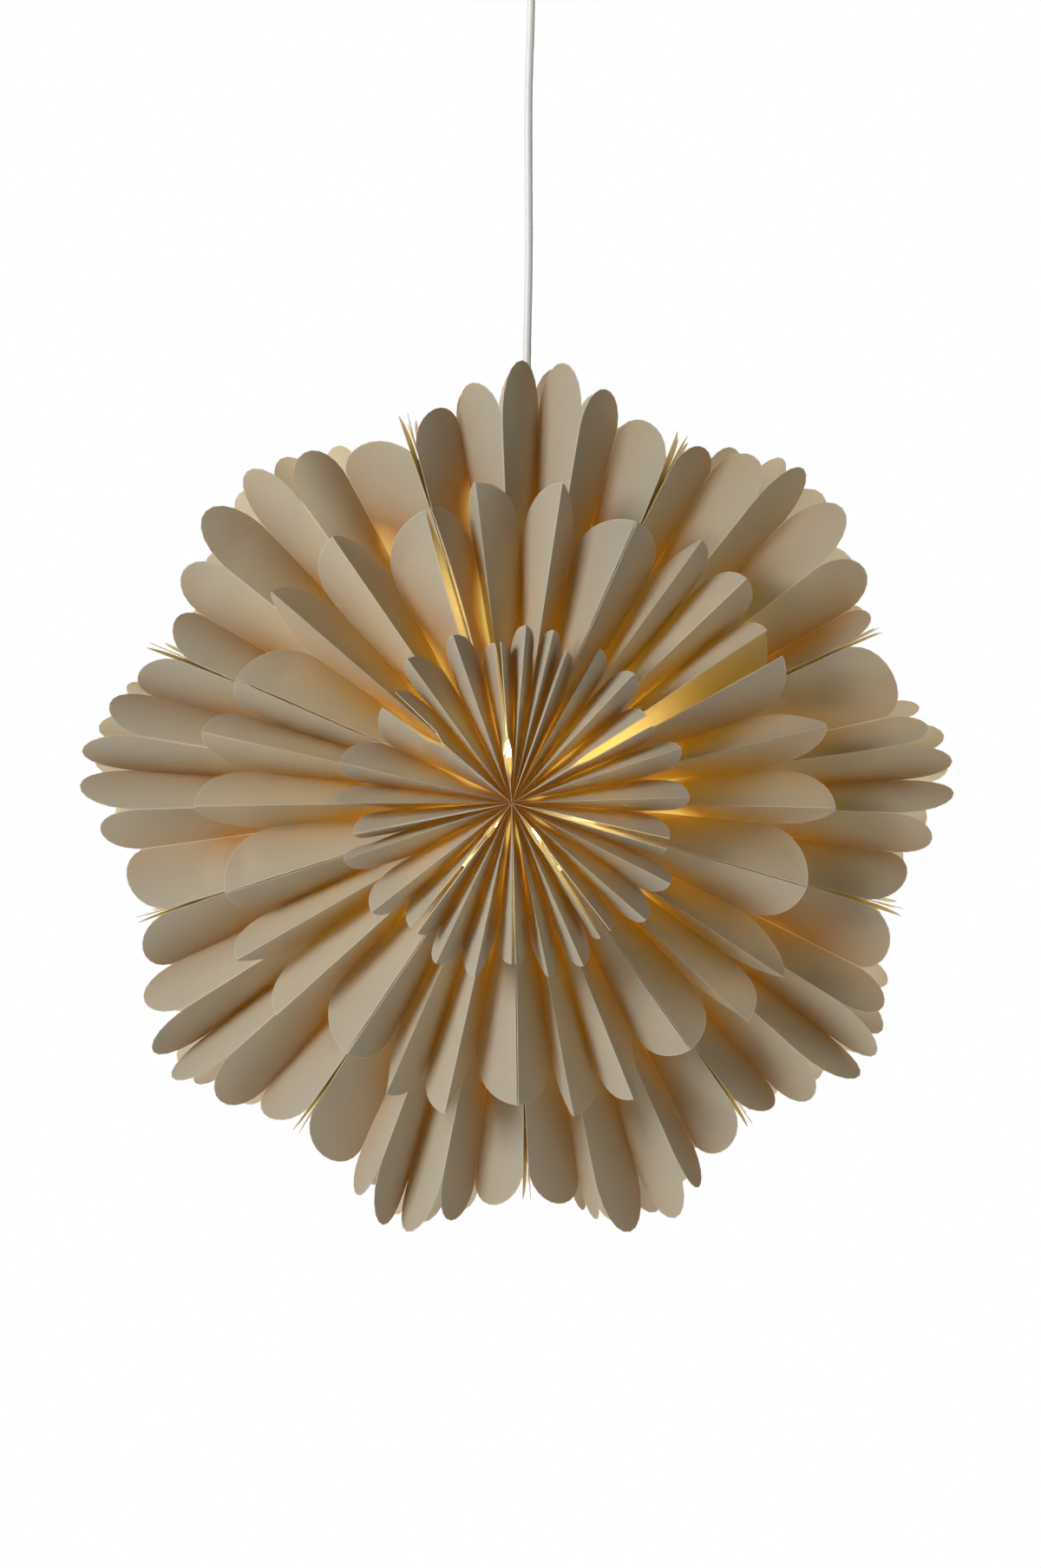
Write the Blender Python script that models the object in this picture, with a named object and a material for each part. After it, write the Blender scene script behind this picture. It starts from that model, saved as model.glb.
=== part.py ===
"""A lit paper star: nine folded paper segments round a lamp that hangs on its own cord.

Metres, +Z up. The origin is the middle of the ceiling plate's top face. The star's axis lies along Y and its
front looks along -Y. Angles in the star are in degrees, anticlockwise from the right as seen from the front.
A depth is a distance from the star's middle plane, the same on the front and on the back.
"""

from dataclasses import dataclass
from math import ceil, cos, pi, radians, sin, sqrt

import bmesh
import bpy
from mathutils import Vector

# Where the star hangs
STAR_DROP = 0.640  # from the ceiling to the star's axis
STAR_SIDE = -0.0082  # the star hangs a little to the left of its ceiling plate

# The paper
PLY = 0.0004  # one sheet
PLEAT_SKIN = 0.0012  # a pleat's thickness measured along the star's axis
INNER_PLEAT_SKIN = 0.0018  # the same where the pleats stand steepest
SEAT_GAP = 0.0003  # between pieces that touch
JOIN_SINK = 0.0004  # how far a seam that is part of its wall lies inside the wall's edges
TIER_GAP = 0.003  # between one tier's valleys and the next tier's ridges

# The star's outline, as distances from its axis
STAR_RADIUS = 0.300
OUTER_PETAL = 0.037
SEAM_NOTCH_DROP = 0.011
WALL_RIM_DROP = 0.028
RIM_LOBE = 0.030
MIDDLE_TIP = 0.215
MIDDLE_PETAL = 0.0505
INNER_TIP = 0.1175
INNER_PETAL = 0.0465
SEAM_TIP_DROP = 0.011
HUB_RADIUS = 0.007
ROOT_CLEARANCE = 0.005
UNDERLAP = 0.014  # how far a tier reaches in under the one before it

# Pleats, across from ridge to valley, and the depth of the outer ridges
OUTER_RIDGE = 0.054
OUTER_PLEAT = 0.046
MIDDLE_PLEAT = 0.044
INNER_PLEAT = 0.046

# A slit parts each wall's inner lobe from the rest down to this radius: each part stands at its own angle
SLIT_END = 0.030
LEAN_DEPTH = 0.012  # how deep the wall takes to turn from one angle to the other at the hub
LEAN_START_SHARE = 0.3

# Shapes of the petals
FLATTEST_SHARE = 0.97
OUTER_PETAL_SHARES = (0.27, 0.635, 1.0, 1.0, 0.635, 0.27)
HALF_LOBE_STEPS = 4
FULL_LOBE_STEPS = 6

# Where the three valleys of a strip lie, as shares of the way clockwise from one ridge to the next
INNER_VALLEY_SHARES = (
    (0.60, 0.50, 0.50),
    (0.60, 0.50, 0.40),
    (0.60, 0.50, 0.40),
    (0.60, 0.50, 0.40),
    (0.60, 0.50, 0.40),
    (0.60, 0.50, 0.40),
    (0.60, 0.50, 0.50),
    (0.60, 0.50, 0.40),
    (0.60, 0.50, 0.40),
)
MIDDLE_VALLEY_SHARES = (
    (0.71, 0.51, 0.29),
    (0.60, 0.43, 0.25),
    (0.51, 0.42, 0.26),
    (0.58, 0.33, 0.25),
    (0.66, 0.50, 0.31),
    (0.75, 0.52, 0.40),
    (0.75, 0.59, 0.44),
    (0.67, 0.52, 0.43),
    (0.70, 0.42, 0.30),
)
OUTER_VALLEY_SHARES = (
    (0.53, 0.44, 0.37),
    (0.44, 0.39, 0.64),
    (0.74, 0.53, 0.43),
    (0.63, 0.54, 0.54),
    (0.75, 0.51, 0.25),
    (0.63, 0.54, 0.27),
    (0.50, 0.47, 0.45),
    (0.62, 0.51, 0.46),
    (0.47, 0.54, 0.41),
)
OUTER_REACH_SHARES = (0.995, 0.99, 0.99, 1.0, 1.02, 1.02, 1.015, 1.0, 0.966)

# Angles of the nine walls and of the two folds in each segment, in the middle ring and at the innermost ridges
WALL_ANGLES = (106.5, 65.6, 25.0, -16.3, -54.4, -88.6, -123.6, -162.3, -202.6)
FOLD_ANGLES = (
    (96.3, 80.9),
    (53.7, 42.8),
    (12.4, -2.3),
    (-33.1, -43.4),
    (-68.1, -78.6),
    (-101.7, -113.2),
    (-137.3, -149.7),
    (-177.6, -191.9),
    (-220.3, -235.9),
)
FRONT_WALL_ANGLES = (95.0, 70.3, 31.0, -14.5, -54.5, -89.4, -127.5, -169.0, -220.0)
FRONT_FOLD_ANGLES = (
    (85.4, 76.3),
    (60.3, 46.6),
    (18.0, 1.9),
    (-26.8, -41.0),
    (-66.2, -78.0),
    (-102.2, -115.3),
    (-142.1, -161.4),
    (-180.0, -193.2),
    (-234.1, -250.7),
)
OUTER_FOLD_ANGLES = (
    (92.2, 80.4),
    (51.5, 37.7),
    (8.0, -2.0),
    (-32.1, -41.9),
    (-66.1, -78.4),
    (-101.1, -110.5),
    (-138.3, -147.8),
    (-178.4, -189.4),
    (-218.4, -234.1),
)
BACK_FOLD_TURNS = (1.6, 3.3, 3.0, 2.6, -2.5, 1.0, 2.0, -3.0, -4.0)  # from the outer folds in front of them
SEGMENTS = len(WALL_ANGLES)
FULL_TURN = 360.0
STRIP_LINES = 7  # seam, valley, fold, valley, fold, valley, seam

# The bulb
BULB_SIDE = 0.005  # the lamp hangs a little to the right of the star's axis
BULB_RADIUS = 0.030
BULB_GLASS = 0.001
BULB_LENGTH = 0.078  # from the globe's centre to where the screw base begins
BULB_NECK_RADIUS = 0.0128
BULB_BASE_RADIUS = 0.0132
BULB_THREAD_DEPTH = 0.0009
BULB_THREAD_PITCH = 0.0036
BULB_THREADS = 5
BULB_TIP_LENGTH = 0.006
BULB_TIP_RADIUS = 0.005
BULB_SHOULDER_SHARES = ((0.28, 0.10), (0.06, 0.55))  # out from the neck and up to it
BULB_TIP_CORNER_SHARE = 0.75
BULB_TIP_FLAT_SHARE = 0.7
BULB_CLEARANCE = 0.036  # from the globe to the walls' inner edges
CAVITY_WALL = 0.009

# The lampholder
HOLDER_RUNNING_GAP = 0.00035
HOLDER_METAL = 0.0004
HOLDER_WALL = 0.0045
HOLDER_MOUTH = 0.002  # how far the sleeve reaches below the bulb's base
HOLDER_LIP = 0.0015
HOLDER_INSERT_HEIGHT = 0.008
HOLDER_CAP_HEIGHT = 0.026
HOLDER_NECK_RADIUS = 0.0049
HOLDER_NECK_HEIGHT = 0.0026
GRIP_RADIUS = 0.0085
GRIP_HEIGHT = 0.015
CONTACT_RADIUS = 0.004
CONTACT_THICKNESS = 0.0004
SLEEVE_STEP_SHARES = (0.55, 0.60)  # where the sleeve steps in to its upper part
CAP_DOME_SHARES = ((1.0, 0.42), (0.90, 0.66), (0.58, 0.88))  # out from the grip and up the cap
GRIP_NUT_SHARE = 0.35  # height of the cord grip's straight foot
GRIP_TAPER_SHARE = 0.45  # the same share across and up where the grip turns into its cone

# The bracket that carries the star
BRACKET_METAL = 0.001
BRACKET_WIDTH = 0.014
BRACKET_TAB = 0.024

# The cord and the ceiling fitting
CORD_DIAMETER = 0.0059
CORD_SPACING = 0.014
PLATE_RADIUS = 0.036
PLATE_THICKNESS = 0.002
PLATE_SCREW_PLACE = 0.025
PLATE_SCREW_RADIUS = 0.0023
BLOCK_LENGTH = 0.028
BLOCK_WIDTH = 0.016
BLOCK_HEIGHT = 0.022
BLOCK_TOWER_RADIUS = 0.0042
BLOCK_TOWER_HEIGHT = 0.003
BLOCK_CHAMFER = 0.0015
CUP_HEIGHT = 0.065
CUP_RIM_RADIUS = 0.046
CUP_FLOOR_RADIUS = 0.040
CUP_CORNER = 0.010
CUP_WALL = 0.002
CUP_GRIP_RADIUS = 0.0085
CUP_GRIP_HEIGHT = 0.009
CUP_GRIP_NECK_RADIUS = 0.0050
CUP_GRIP_NECK_HEIGHT = 0.006
CUP_GRIP_CORNER = 0.0015
CUP_GRIP_BORE_GAP = 0.0006
OVERRUN = 0.004  # how far a cutter runs past what it cuts

# The cord's route below the ceiling fitting, as places across and up from the origin
CORD_ROUTE = (
    (0.0000, -0.065),
    (0.0000, -0.080),
    (-0.0001, -0.095),
    (-0.0005, -0.112),
    (-0.0011, -0.130),
    (-0.0017, -0.150),
    (-0.0020, -0.173),
    (-0.0020, -0.200),
    (-0.0018, -0.230),
    (-0.0017, -0.259),
    (-0.0021, -0.292),
    (-0.0028, -0.325),
    (-0.0030, -0.360),
    (-0.0031, -0.400),
    (-0.0032, -0.440),
    (-0.0032, -0.480),
)

# What follows from the sizes above
OUTER_NOTCH = STAR_RADIUS - OUTER_PETAL
OUTER_SEAM_NOTCH = OUTER_NOTCH - SEAM_NOTCH_DROP
MIDDLE_NOTCH = MIDDLE_TIP - MIDDLE_PETAL
INNER_NOTCH = INNER_TIP - INNER_PETAL
MIDDLE_RIDGE = OUTER_RIDGE + MIDDLE_PLEAT + TIER_GAP
INNER_RIDGE = MIDDLE_RIDGE + TIER_GAP + INNER_PLEAT
CAVITY_RADIUS = BULB_RADIUS + BULB_CLEARANCE
CAVITY_DEPTH = MIDDLE_RIDGE - CAVITY_WALL
INNER_FLOOR = MIDDLE_RIDGE + TIER_GAP
LEAN_START = MIDDLE_RIDGE + TIER_GAP * LEAN_START_SHARE
BULB_NECK_TOP = BULB_LENGTH - BULB_RADIUS
BULB_BASE_LOW = BULB_NECK_TOP + SEAT_GAP
BULB_BASE_TOP = BULB_BASE_LOW + BULB_THREADS * BULB_THREAD_PITCH
BULB_TIP = BULB_BASE_TOP + BULB_TIP_LENGTH
SHELL_BORE = BULB_BASE_RADIUS + HOLDER_RUNNING_GAP
SHELL_ROOT = SHELL_BORE + BULB_THREAD_DEPTH
SHELL_OUTSIDE = SHELL_ROOT + HOLDER_METAL
SLEEVE_BORE = SHELL_OUTSIDE + SEAT_GAP
SLEEVE_RADIUS = SLEEVE_BORE + HOLDER_WALL
SLEEVE_LOW = BULB_BASE_LOW - HOLDER_MOUTH
CONTACT_LOW = BULB_TIP + SEAT_GAP
INSERT_LOW = CONTACT_LOW + CONTACT_THICKNESS + SEAT_GAP
SLEEVE_TOP = INSERT_LOW + HOLDER_INSERT_HEIGHT
CAP_LOW = SLEEVE_TOP + SEAT_GAP
CAP_TOP = CAP_LOW + HOLDER_CAP_HEIGHT
BRACKET_LOW = CAP_TOP + SEAT_GAP
GRIP_LOW = BRACKET_LOW + BRACKET_METAL + SEAT_GAP
GRIP_TOP = GRIP_LOW + GRIP_HEIGHT
CORD_LOW = GRIP_TOP + SEAT_GAP
BLOCK_TOP = PLATE_THICKNESS + SEAT_GAP
CORD_TOP = BLOCK_TOP + BLOCK_HEIGHT + SEAT_GAP


@dataclass
class Tier:
    """One ring of pleats: its depths, its reach from the axis and where its ridges stand."""

    name: str
    ridge: float
    pleat: float
    root: float
    notches: tuple
    tips: tuple
    whole_petals: bool
    skin: float
    walls: tuple
    folds: tuple
    valley_shares: tuple
    reach_shares: tuple = (1.0,) * SEGMENTS
    back_turns: tuple = (0.0,) * SEGMENTS


def mix(start, end, share):
    """The value a share of the way from start to end."""
    return start + (end - start) * share


def folded_tips(tip):
    """Ridge ends of a strip whose seams stop a little short of its folds."""
    return (tip - SEAM_TIP_DROP, tip, tip, tip - SEAM_TIP_DROP)


INNER = Tier(
    name="inner",
    ridge=INNER_RIDGE,
    pleat=INNER_PLEAT,
    root=HUB_RADIUS + ROOT_CLEARANCE,
    notches=(INNER_NOTCH,) * STRIP_LINES,
    tips=folded_tips(INNER_TIP),
    whole_petals=False,
    skin=INNER_PLEAT_SKIN,
    walls=FRONT_WALL_ANGLES,
    folds=FRONT_FOLD_ANGLES,
    valley_shares=INNER_VALLEY_SHARES,
)
MIDDLE = Tier(
    name="middle",
    ridge=MIDDLE_RIDGE,
    pleat=MIDDLE_PLEAT,
    root=INNER_NOTCH - UNDERLAP,
    notches=(MIDDLE_NOTCH,) * STRIP_LINES,
    tips=folded_tips(MIDDLE_TIP),
    whole_petals=False,
    skin=PLEAT_SKIN,
    walls=WALL_ANGLES,
    folds=FOLD_ANGLES,
    valley_shares=MIDDLE_VALLEY_SHARES,
)
OUTER = Tier(
    name="outer",
    ridge=OUTER_RIDGE,
    pleat=OUTER_PLEAT,
    root=MIDDLE_NOTCH - UNDERLAP,
    notches=(OUTER_SEAM_NOTCH, *(OUTER_NOTCH,) * (STRIP_LINES - 2), OUTER_SEAM_NOTCH),
    tips=tuple(OUTER_NOTCH + OUTER_PETAL * share for share in OUTER_PETAL_SHARES),
    whole_petals=True,
    skin=PLEAT_SKIN,
    walls=WALL_ANGLES,
    folds=OUTER_FOLD_ANGLES,
    valley_shares=OUTER_VALLEY_SHARES,
    reach_shares=OUTER_REACH_SHARES,
    back_turns=BACK_FOLD_TURNS,
)


def clear_scene():
    """Removes every object that the scene starts with."""
    for thing in list(bpy.data.objects):
        bpy.data.objects.remove(thing, do_unlink=True)


def material(name, colour, roughness, metallic=0.0):
    """A plain material of one colour."""
    made = bpy.data.materials.new(name)
    made.use_nodes = True
    shader = made.node_tree.nodes["Principled BSDF"]
    shader.inputs["Base Color"].default_value = (*colour, 1.0)
    shader.inputs["Roughness"].default_value = roughness
    shader.inputs["Metallic"].default_value = metallic
    made.diffuse_color = (*colour, 1.0)
    return made


def empty(name, place, parent=None):
    """A point that other objects hang on."""
    made = bpy.data.objects.new(name, None)
    made.location = place
    made.parent = parent
    bpy.context.scene.collection.objects.link(made)
    return made


def solid(name, mesh, finish, parent, place=(0, 0, 0)):
    """An object of one mesh and one material on its parent."""
    made = bpy.data.objects.new(name, mesh)
    made.data.materials.append(finish)
    made.location = place
    made.parent = parent
    bpy.context.scene.collection.objects.link(made)
    return made


def mesh_from(name, bm):
    """Closes a bmesh into a mesh whose faces look outwards."""
    bmesh.ops.recalc_face_normals(bm, faces=bm.faces)
    mesh = bpy.data.meshes.new(name)
    bm.to_mesh(mesh)
    bm.free()
    return mesh


def helper(thing):
    """Marks an object as one that only shapes others."""
    thing.hide_render = True
    thing.display_type = "WIRE"
    return thing


def boolean(target, other, operation):
    """Joins or cuts the target with a helper object."""
    modifier = target.modifiers.new(operation.lower(), "BOOLEAN")
    modifier.operation = operation
    modifier.object = helper(other)


def star_point(angle, radius, depth, face, aside=0.0):
    """A place in the star; aside is a step square to the radius, anticlockwise."""
    turn = radians(angle)
    across = radius * cos(turn) - aside * sin(turn)
    up = radius * sin(turn) + aside * cos(turn)
    return Vector((across, face * depth, up))


def pinch(radius):
    """How much of the paper's thickness is left near the hub, where the folds are pressed together."""
    return min(radius / SLIT_END, 1)


def lean_share(radius, depth):
    """How far a wall has turned from its inner lobe's angle to its main one."""
    main_from = MIDDLE_RIDGE - LEAN_DEPTH * max(1 - radius / SLIT_END, 0)
    share = (LEAN_START - depth) / (LEAN_START - main_from)
    return min(max(share, 0), 1)


def wall_angle(wall, radius, depth):
    """Angle of a wall at one radius and depth. Walls past the last one are the first ones a turn on."""
    turns, index = divmod(wall, SEGMENTS)
    share = lean_share(radius, depth)
    return mix(FRONT_WALL_ANGLES[index], WALL_ANGLES[index], share) - turns * FULL_TURN


def line_angles(tier, segment, face):
    """Angles of a strip's seven lines: seam, valley, fold, valley, fold, valley, seam."""
    first = tier.walls[segment]
    turns, index = divmod(segment + 1, SEGMENTS)
    last = tier.walls[index] - turns * FULL_TURN
    turn = tier.back_turns[segment] * (face > 0)
    left, right = (fold + turn for fold in tier.folds[segment])
    ridges = (first, left, right, last)
    valleys = [mix(*pair, share) for *pair, share in zip(ridges, ridges[1:], tier.valley_shares[segment])]
    return (first, valleys[0], left, valleys[1], right, valleys[2], last)


@dataclass
class Strip:
    """One pleated strip of a tier between two walls, on the front (face -1) or on the back (face 1)."""

    tier: Tier
    segment: int
    face: int
    joined: bool  # whether its first seam runs into the wall or stops short of it

    def seat(self, line, radius):
        """How far aside a seam keeps from the middle of its wall."""
        if line == 0 and self.joined:
            return 0.0
        step = (PLY + SEAT_GAP) * pinch(radius)
        return -step if line == 0 else step

    def place(self, line, radius):
        """The point at one radius on one of the seven lines."""
        tier = self.tier
        angles = line_angles(tier, self.segment, self.face)
        ridge = tier.ridge - JOIN_SINK * self.joined
        if line in (0, STRIP_LINES - 1):
            angle = wall_angle(self.segment + (line > 0), radius, tier.ridge)
            return star_point(angle, radius, ridge, self.face, self.seat(line, radius))
        if line % 2 == 0:
            return star_point(angles[line], radius, ridge, self.face)
        wider = max(angles[line - 1] - angles[line], angles[line] - angles[line + 1])
        across = min(radius * radians(wider), tier.pleat * FLATTEST_SHARE)
        depth = ridge - sqrt(tier.pleat**2 - across**2)
        return star_point(angles[line], radius, depth, self.face)

    def line_end(self, line):
        """How far out a line runs: a fold to its tip on the inner tiers, any other line to its notch."""
        reach = self.tier.reach_shares[self.segment]
        if self.tier.whole_petals or line % 2:
            return self.tier.notches[line] * reach
        if line == 0 and self.joined:
            return self.tier.tips[0] - JOIN_SINK
        return self.tier.tips[line // 2]

    def stops(self, line):
        """Radii of the points along a line; an inner line has one more where the paper starts to thin."""
        root, end = self.tier.root, self.line_end(line)
        return [root, SLIT_END, end] if root < SLIT_END else [root, end]

    def rim(self, panel, ridge, valley):
        """Points of a panel's curved end, from its ridge to its valley, both left out."""
        tier = self.tier
        start, end = self.line_end(ridge), self.line_end(valley)
        steps = FULL_LOBE_STEPS if tier.whole_petals else HALF_LOBE_STEPS
        points = []
        for step in range(1, steps):
            if tier.whole_petals:
                turn = pi * step / steps
                share = (1 - cos(turn)) / 2
                tip = tier.tips[panel] * tier.reach_shares[self.segment]
                radius = mix(start, end, share) + (tip - (start + end) / 2) * sin(turn)
            else:
                turn = pi / 2 * step / steps
                share = sin(turn)
                radius = end + (start - end) * cos(turn)
            points.append(self.place(ridge, radius).lerp(self.place(valley, radius), share))
        return points

    def mesh(self, name):
        """The strip's mesh: each panel ends in a fan of triangles from a point on its valley."""
        bm = bmesh.new()
        lines = [
            [bm.verts.new(self.place(line, radius)) for radius in self.stops(line)]
            for line in range(STRIP_LINES)
        ]
        for panel in range(STRIP_LINES - 1):
            ridge, valley = (panel, panel + 1) if panel % 2 == 0 else (panel + 1, panel)
            curve = [bm.verts.new(point) for point in self.rim(panel, ridge, valley)]
            *inner_valley, fan_centre, valley_end = lines[valley]
            border = [*lines[ridge][-2:], *curve, valley_end]
            for start, end in zip(border, border[1:]):
                bm.faces.new((fan_centre, start, end))
            for root in inner_valley:
                bm.faces.new((root, *lines[ridge][:2]))
                bm.faces.new((root, lines[ridge][1], fan_centre))
        bmesh.ops.recalc_face_normals(bm, faces=bm.faces)
        inwards = Vector((0, -self.face * self.tier.skin, 0))
        add_second_skin(bm, lambda vertex: vertex.co + inwards)
        return mesh_from(name, bm)


def add_second_skin(bm, twin_place):
    """Closes an open sheet with a second skin, joined to the first along the sheet's border."""
    sheet = list(bm.faces)
    border = [edge for edge in bm.edges if edge.is_boundary]
    twins = {vertex: bm.verts.new(twin_place(vertex)) for vertex in list(bm.verts)}
    for face in sheet:
        bm.faces.new([twins[vertex] for vertex in reversed(face.verts)])
    for edge in border:
        first, second = edge.verts
        bm.faces.new((first, second, twins[second], twins[first]))


def lobe(tip, ridge, notch, valley):
    """A quarter ellipse from a tip on a ridge in to a notch nearer the middle plane."""
    turns = [pi / 2 * step / HALF_LOBE_STEPS for step in range(HALF_LOBE_STEPS + 1)]
    return [(notch + (tip - notch) * cos(turn), ridge + (valley - ridge) * sin(turn)) for turn in turns]


def wall_outline():
    """A wall laid flat, as points of radius and depth: stepped lobes outside, the lamp's hollow inside."""
    rim = STAR_RADIUS - WALL_RIM_DROP
    slot = OUTER_RIDGE - sqrt(OUTER_PLEAT**2 - RIM_LOBE**2)
    half = [
        (HUB_RADIUS, INNER_RIDGE),
        *lobe(INNER_TIP - SEAM_TIP_DROP, INNER_RIDGE, INNER_NOTCH, INNER_FLOOR),
        (SLIT_END, INNER_FLOOR),
        (SLIT_END, MIDDLE_RIDGE),
        *lobe(MIDDLE_TIP - SEAM_TIP_DROP, MIDDLE_RIDGE, MIDDLE_NOTCH, OUTER_RIDGE + TIER_GAP),
        (MIDDLE_NOTCH + TIER_GAP, OUTER_RIDGE),
        *lobe(rim, OUTER_RIDGE, rim - RIM_LOBE, slot),
    ]
    steps = 2 * HALF_LOBE_STEPS
    hollow = []
    for step in range(steps + 1):
        depth_share = 1 - 2 * step / steps
        depth = hub_hollow_depth() * sin(pi / 2 * depth_share)
        hollow.append((CAVITY_RADIUS * sqrt(1 - (depth / CAVITY_DEPTH) ** 2), depth))
    front = [(radius, -depth) for radius, depth in half]
    back = [(radius, depth) for radius, depth in reversed(half)]
    return [*front, *back, *hollow]


def hub_hollow_depth():
    """Depth at which the lamp's hollow meets the hub."""
    return CAVITY_DEPTH * sqrt(1 - (HUB_RADIUS / CAVITY_RADIUS) ** 2)


def wall_place(wall, radius, depth, side):
    """A point on one side of a wall."""
    angle = wall_angle(wall, radius, abs(depth))
    return star_point(angle, radius, depth, 1, side * PLY * pinch(radius))


def wall_mesh(name, wall):
    """A wall of two plies: the flat outline, scored across and along, then bent to its angles."""
    bm = bmesh.new()
    bm.faces.new([bm.verts.new((radius, depth, 0)) for radius, depth in wall_outline()])
    for radius in (SLIT_END / 2, SLIT_END):
        cut_sheet(bm, Vector((radius, 0, 0)), Vector((1, 0, 0)))
    for depth in (LEAN_START, MIDDLE_RIDGE - LEAN_DEPTH / 2):
        cut_sheet(bm, Vector((0, depth, 0)), Vector((0, 1, 0)))
        cut_sheet(bm, Vector((0, -depth, 0)), Vector((0, 1, 0)))
    bmesh.ops.triangulate(bm, faces=bm.faces)
    flat = {vertex: vertex.co.copy() for vertex in bm.verts}
    add_second_skin(bm, lambda vertex: wall_place(wall, vertex.co.x, vertex.co.y, 1))
    for vertex, place in flat.items():
        vertex.co = wall_place(wall, place.x, place.y, -1)
    return mesh_from(name, bm)


def cut_sheet(bm, place, direction):
    """Adds edges where a plane crosses the sheet."""
    everything = [*bm.verts, *bm.edges, *bm.faces]
    bmesh.ops.bisect_plane(bm, geom=everything, plane_co=place, plane_no=direction)


def turned(name, outline, sides):
    """A body turned about Z from points of radius and height that close on themselves or end on the axis."""
    bm = bmesh.new()
    rings = []
    for radius, height in outline:
        if radius == 0:
            rings.append([bm.verts.new((0, 0, height))] * sides)
            continue
        turns = [2 * pi * side / sides for side in range(sides)]
        rings.append([bm.verts.new((radius * cos(turn), radius * sin(turn), height)) for turn in turns])
    on_axis = outline[0][0] == 0 and outline[-1][0] == 0
    pairs = list(zip(rings, rings[1:])) if on_axis else list(zip(rings, rings[1:] + rings[:1]))
    for lower, upper in pairs:
        for side in range(sides):
            onwards = (side + 1) % sides
            corners = (lower[side], lower[onwards], upper[onwards], upper[side])
            bm.faces.new(list(dict.fromkeys(corners)))
    mesh = mesh_from(name, bm)
    mesh.shade_smooth()
    mesh.set_sharp_from_angle(angle=radians(35))
    return mesh


def arc(centre, radius, start, end, steps):
    """Points on an arc of radius and height, angles in degrees from the outward direction."""
    turns = [radians(mix(start, end, step / steps)) for step in range(steps + 1)]
    return [(centre[0] + radius * cos(turn), centre[1] + radius * sin(turn)) for turn in turns]


def prism(name, outline, width):
    """A body of constant section: an outline across and up, carried along Y about the middle plane."""
    bm = bmesh.new()
    section = [bm.verts.new((across, -width / 2, up)) for across, up in outline]
    bm.faces.new(section)
    add_second_skin(bm, lambda vertex: vertex.co + Vector((0, width, 0)))
    return mesh_from(name, bm)


def threads(low, crest, root, count, pitch):
    """Points up the side of a screw thread: count crests between shallower roots."""
    points = [(root, low)]
    for turn in range(count):
        points.append((crest, low + (turn + 0.5) * pitch))
        points.append((root, low + (turn + 1) * pitch))
    return points


def make_paper(centre, finish):
    """The nine walls with their back inner and middle pleats, and the strips of pleats between them."""
    for segment in range(SEGMENTS):
        number = segment + 1
        wall_name = f"wall_and_back_pleats_{number}"
        wall = solid(wall_name, wall_mesh(wall_name, segment), finish, centre)
        for tier in (INNER, MIDDLE):
            name = f"back_{tier.name}_pleats_{number}"
            strip = Strip(tier, segment, 1, joined=True)
            boolean(wall, solid(name, strip.mesh(name), finish, centre), "UNION")
        for tier in (INNER, MIDDLE, OUTER):
            name = f"front_{tier.name}_pleats_{number}"
            solid(name, Strip(tier, segment, -1, joined=False).mesh(name), finish, centre)
        name = f"back_outer_pleats_{number}"
        solid(name, Strip(OUTER, segment, 1, joined=False).mesh(name), finish, centre)


def make_bulb(axis, glass, metal):
    """The bulb: a hollow frosted globe, open at its neck, and a screw base with its contact tip."""
    outside = arc((0, 0), BULB_RADIUS, -90, 40, 9)
    inside = arc((0, 0), BULB_RADIUS - BULB_GLASS, 40, -90, 5)
    outside[0] = (0, -BULB_RADIUS)
    inside[-1] = (0, BULB_GLASS - BULB_RADIUS)
    waist = [
        (mix(BULB_NECK_RADIUS, BULB_RADIUS, out), mix(BULB_RADIUS, BULB_NECK_TOP, up))
        for out, up in BULB_SHOULDER_SHARES
    ]
    waist.append((BULB_NECK_RADIUS, BULB_NECK_TOP))
    waist_inside = [(radius - BULB_GLASS, height) for radius, height in reversed(waist)]
    globe = [*outside, *waist, *waist_inside, *inside]
    solid("bulb_globe", turned("bulb_globe", globe, 18), glass, axis)
    thread_root = BULB_BASE_RADIUS - BULB_THREAD_DEPTH
    base = [
        (0, BULB_BASE_LOW),
        *threads(BULB_BASE_LOW, BULB_BASE_RADIUS, thread_root, BULB_THREADS, BULB_THREAD_PITCH),
        (BULB_TIP_RADIUS, mix(BULB_BASE_TOP, BULB_TIP, BULB_TIP_CORNER_SHARE)),
        (BULB_TIP_RADIUS * BULB_TIP_FLAT_SHARE, BULB_TIP),
        (0, BULB_TIP),
    ]
    solid("bulb_screw_base", turned("bulb_screw_base", base, 18), metal, axis)


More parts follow.
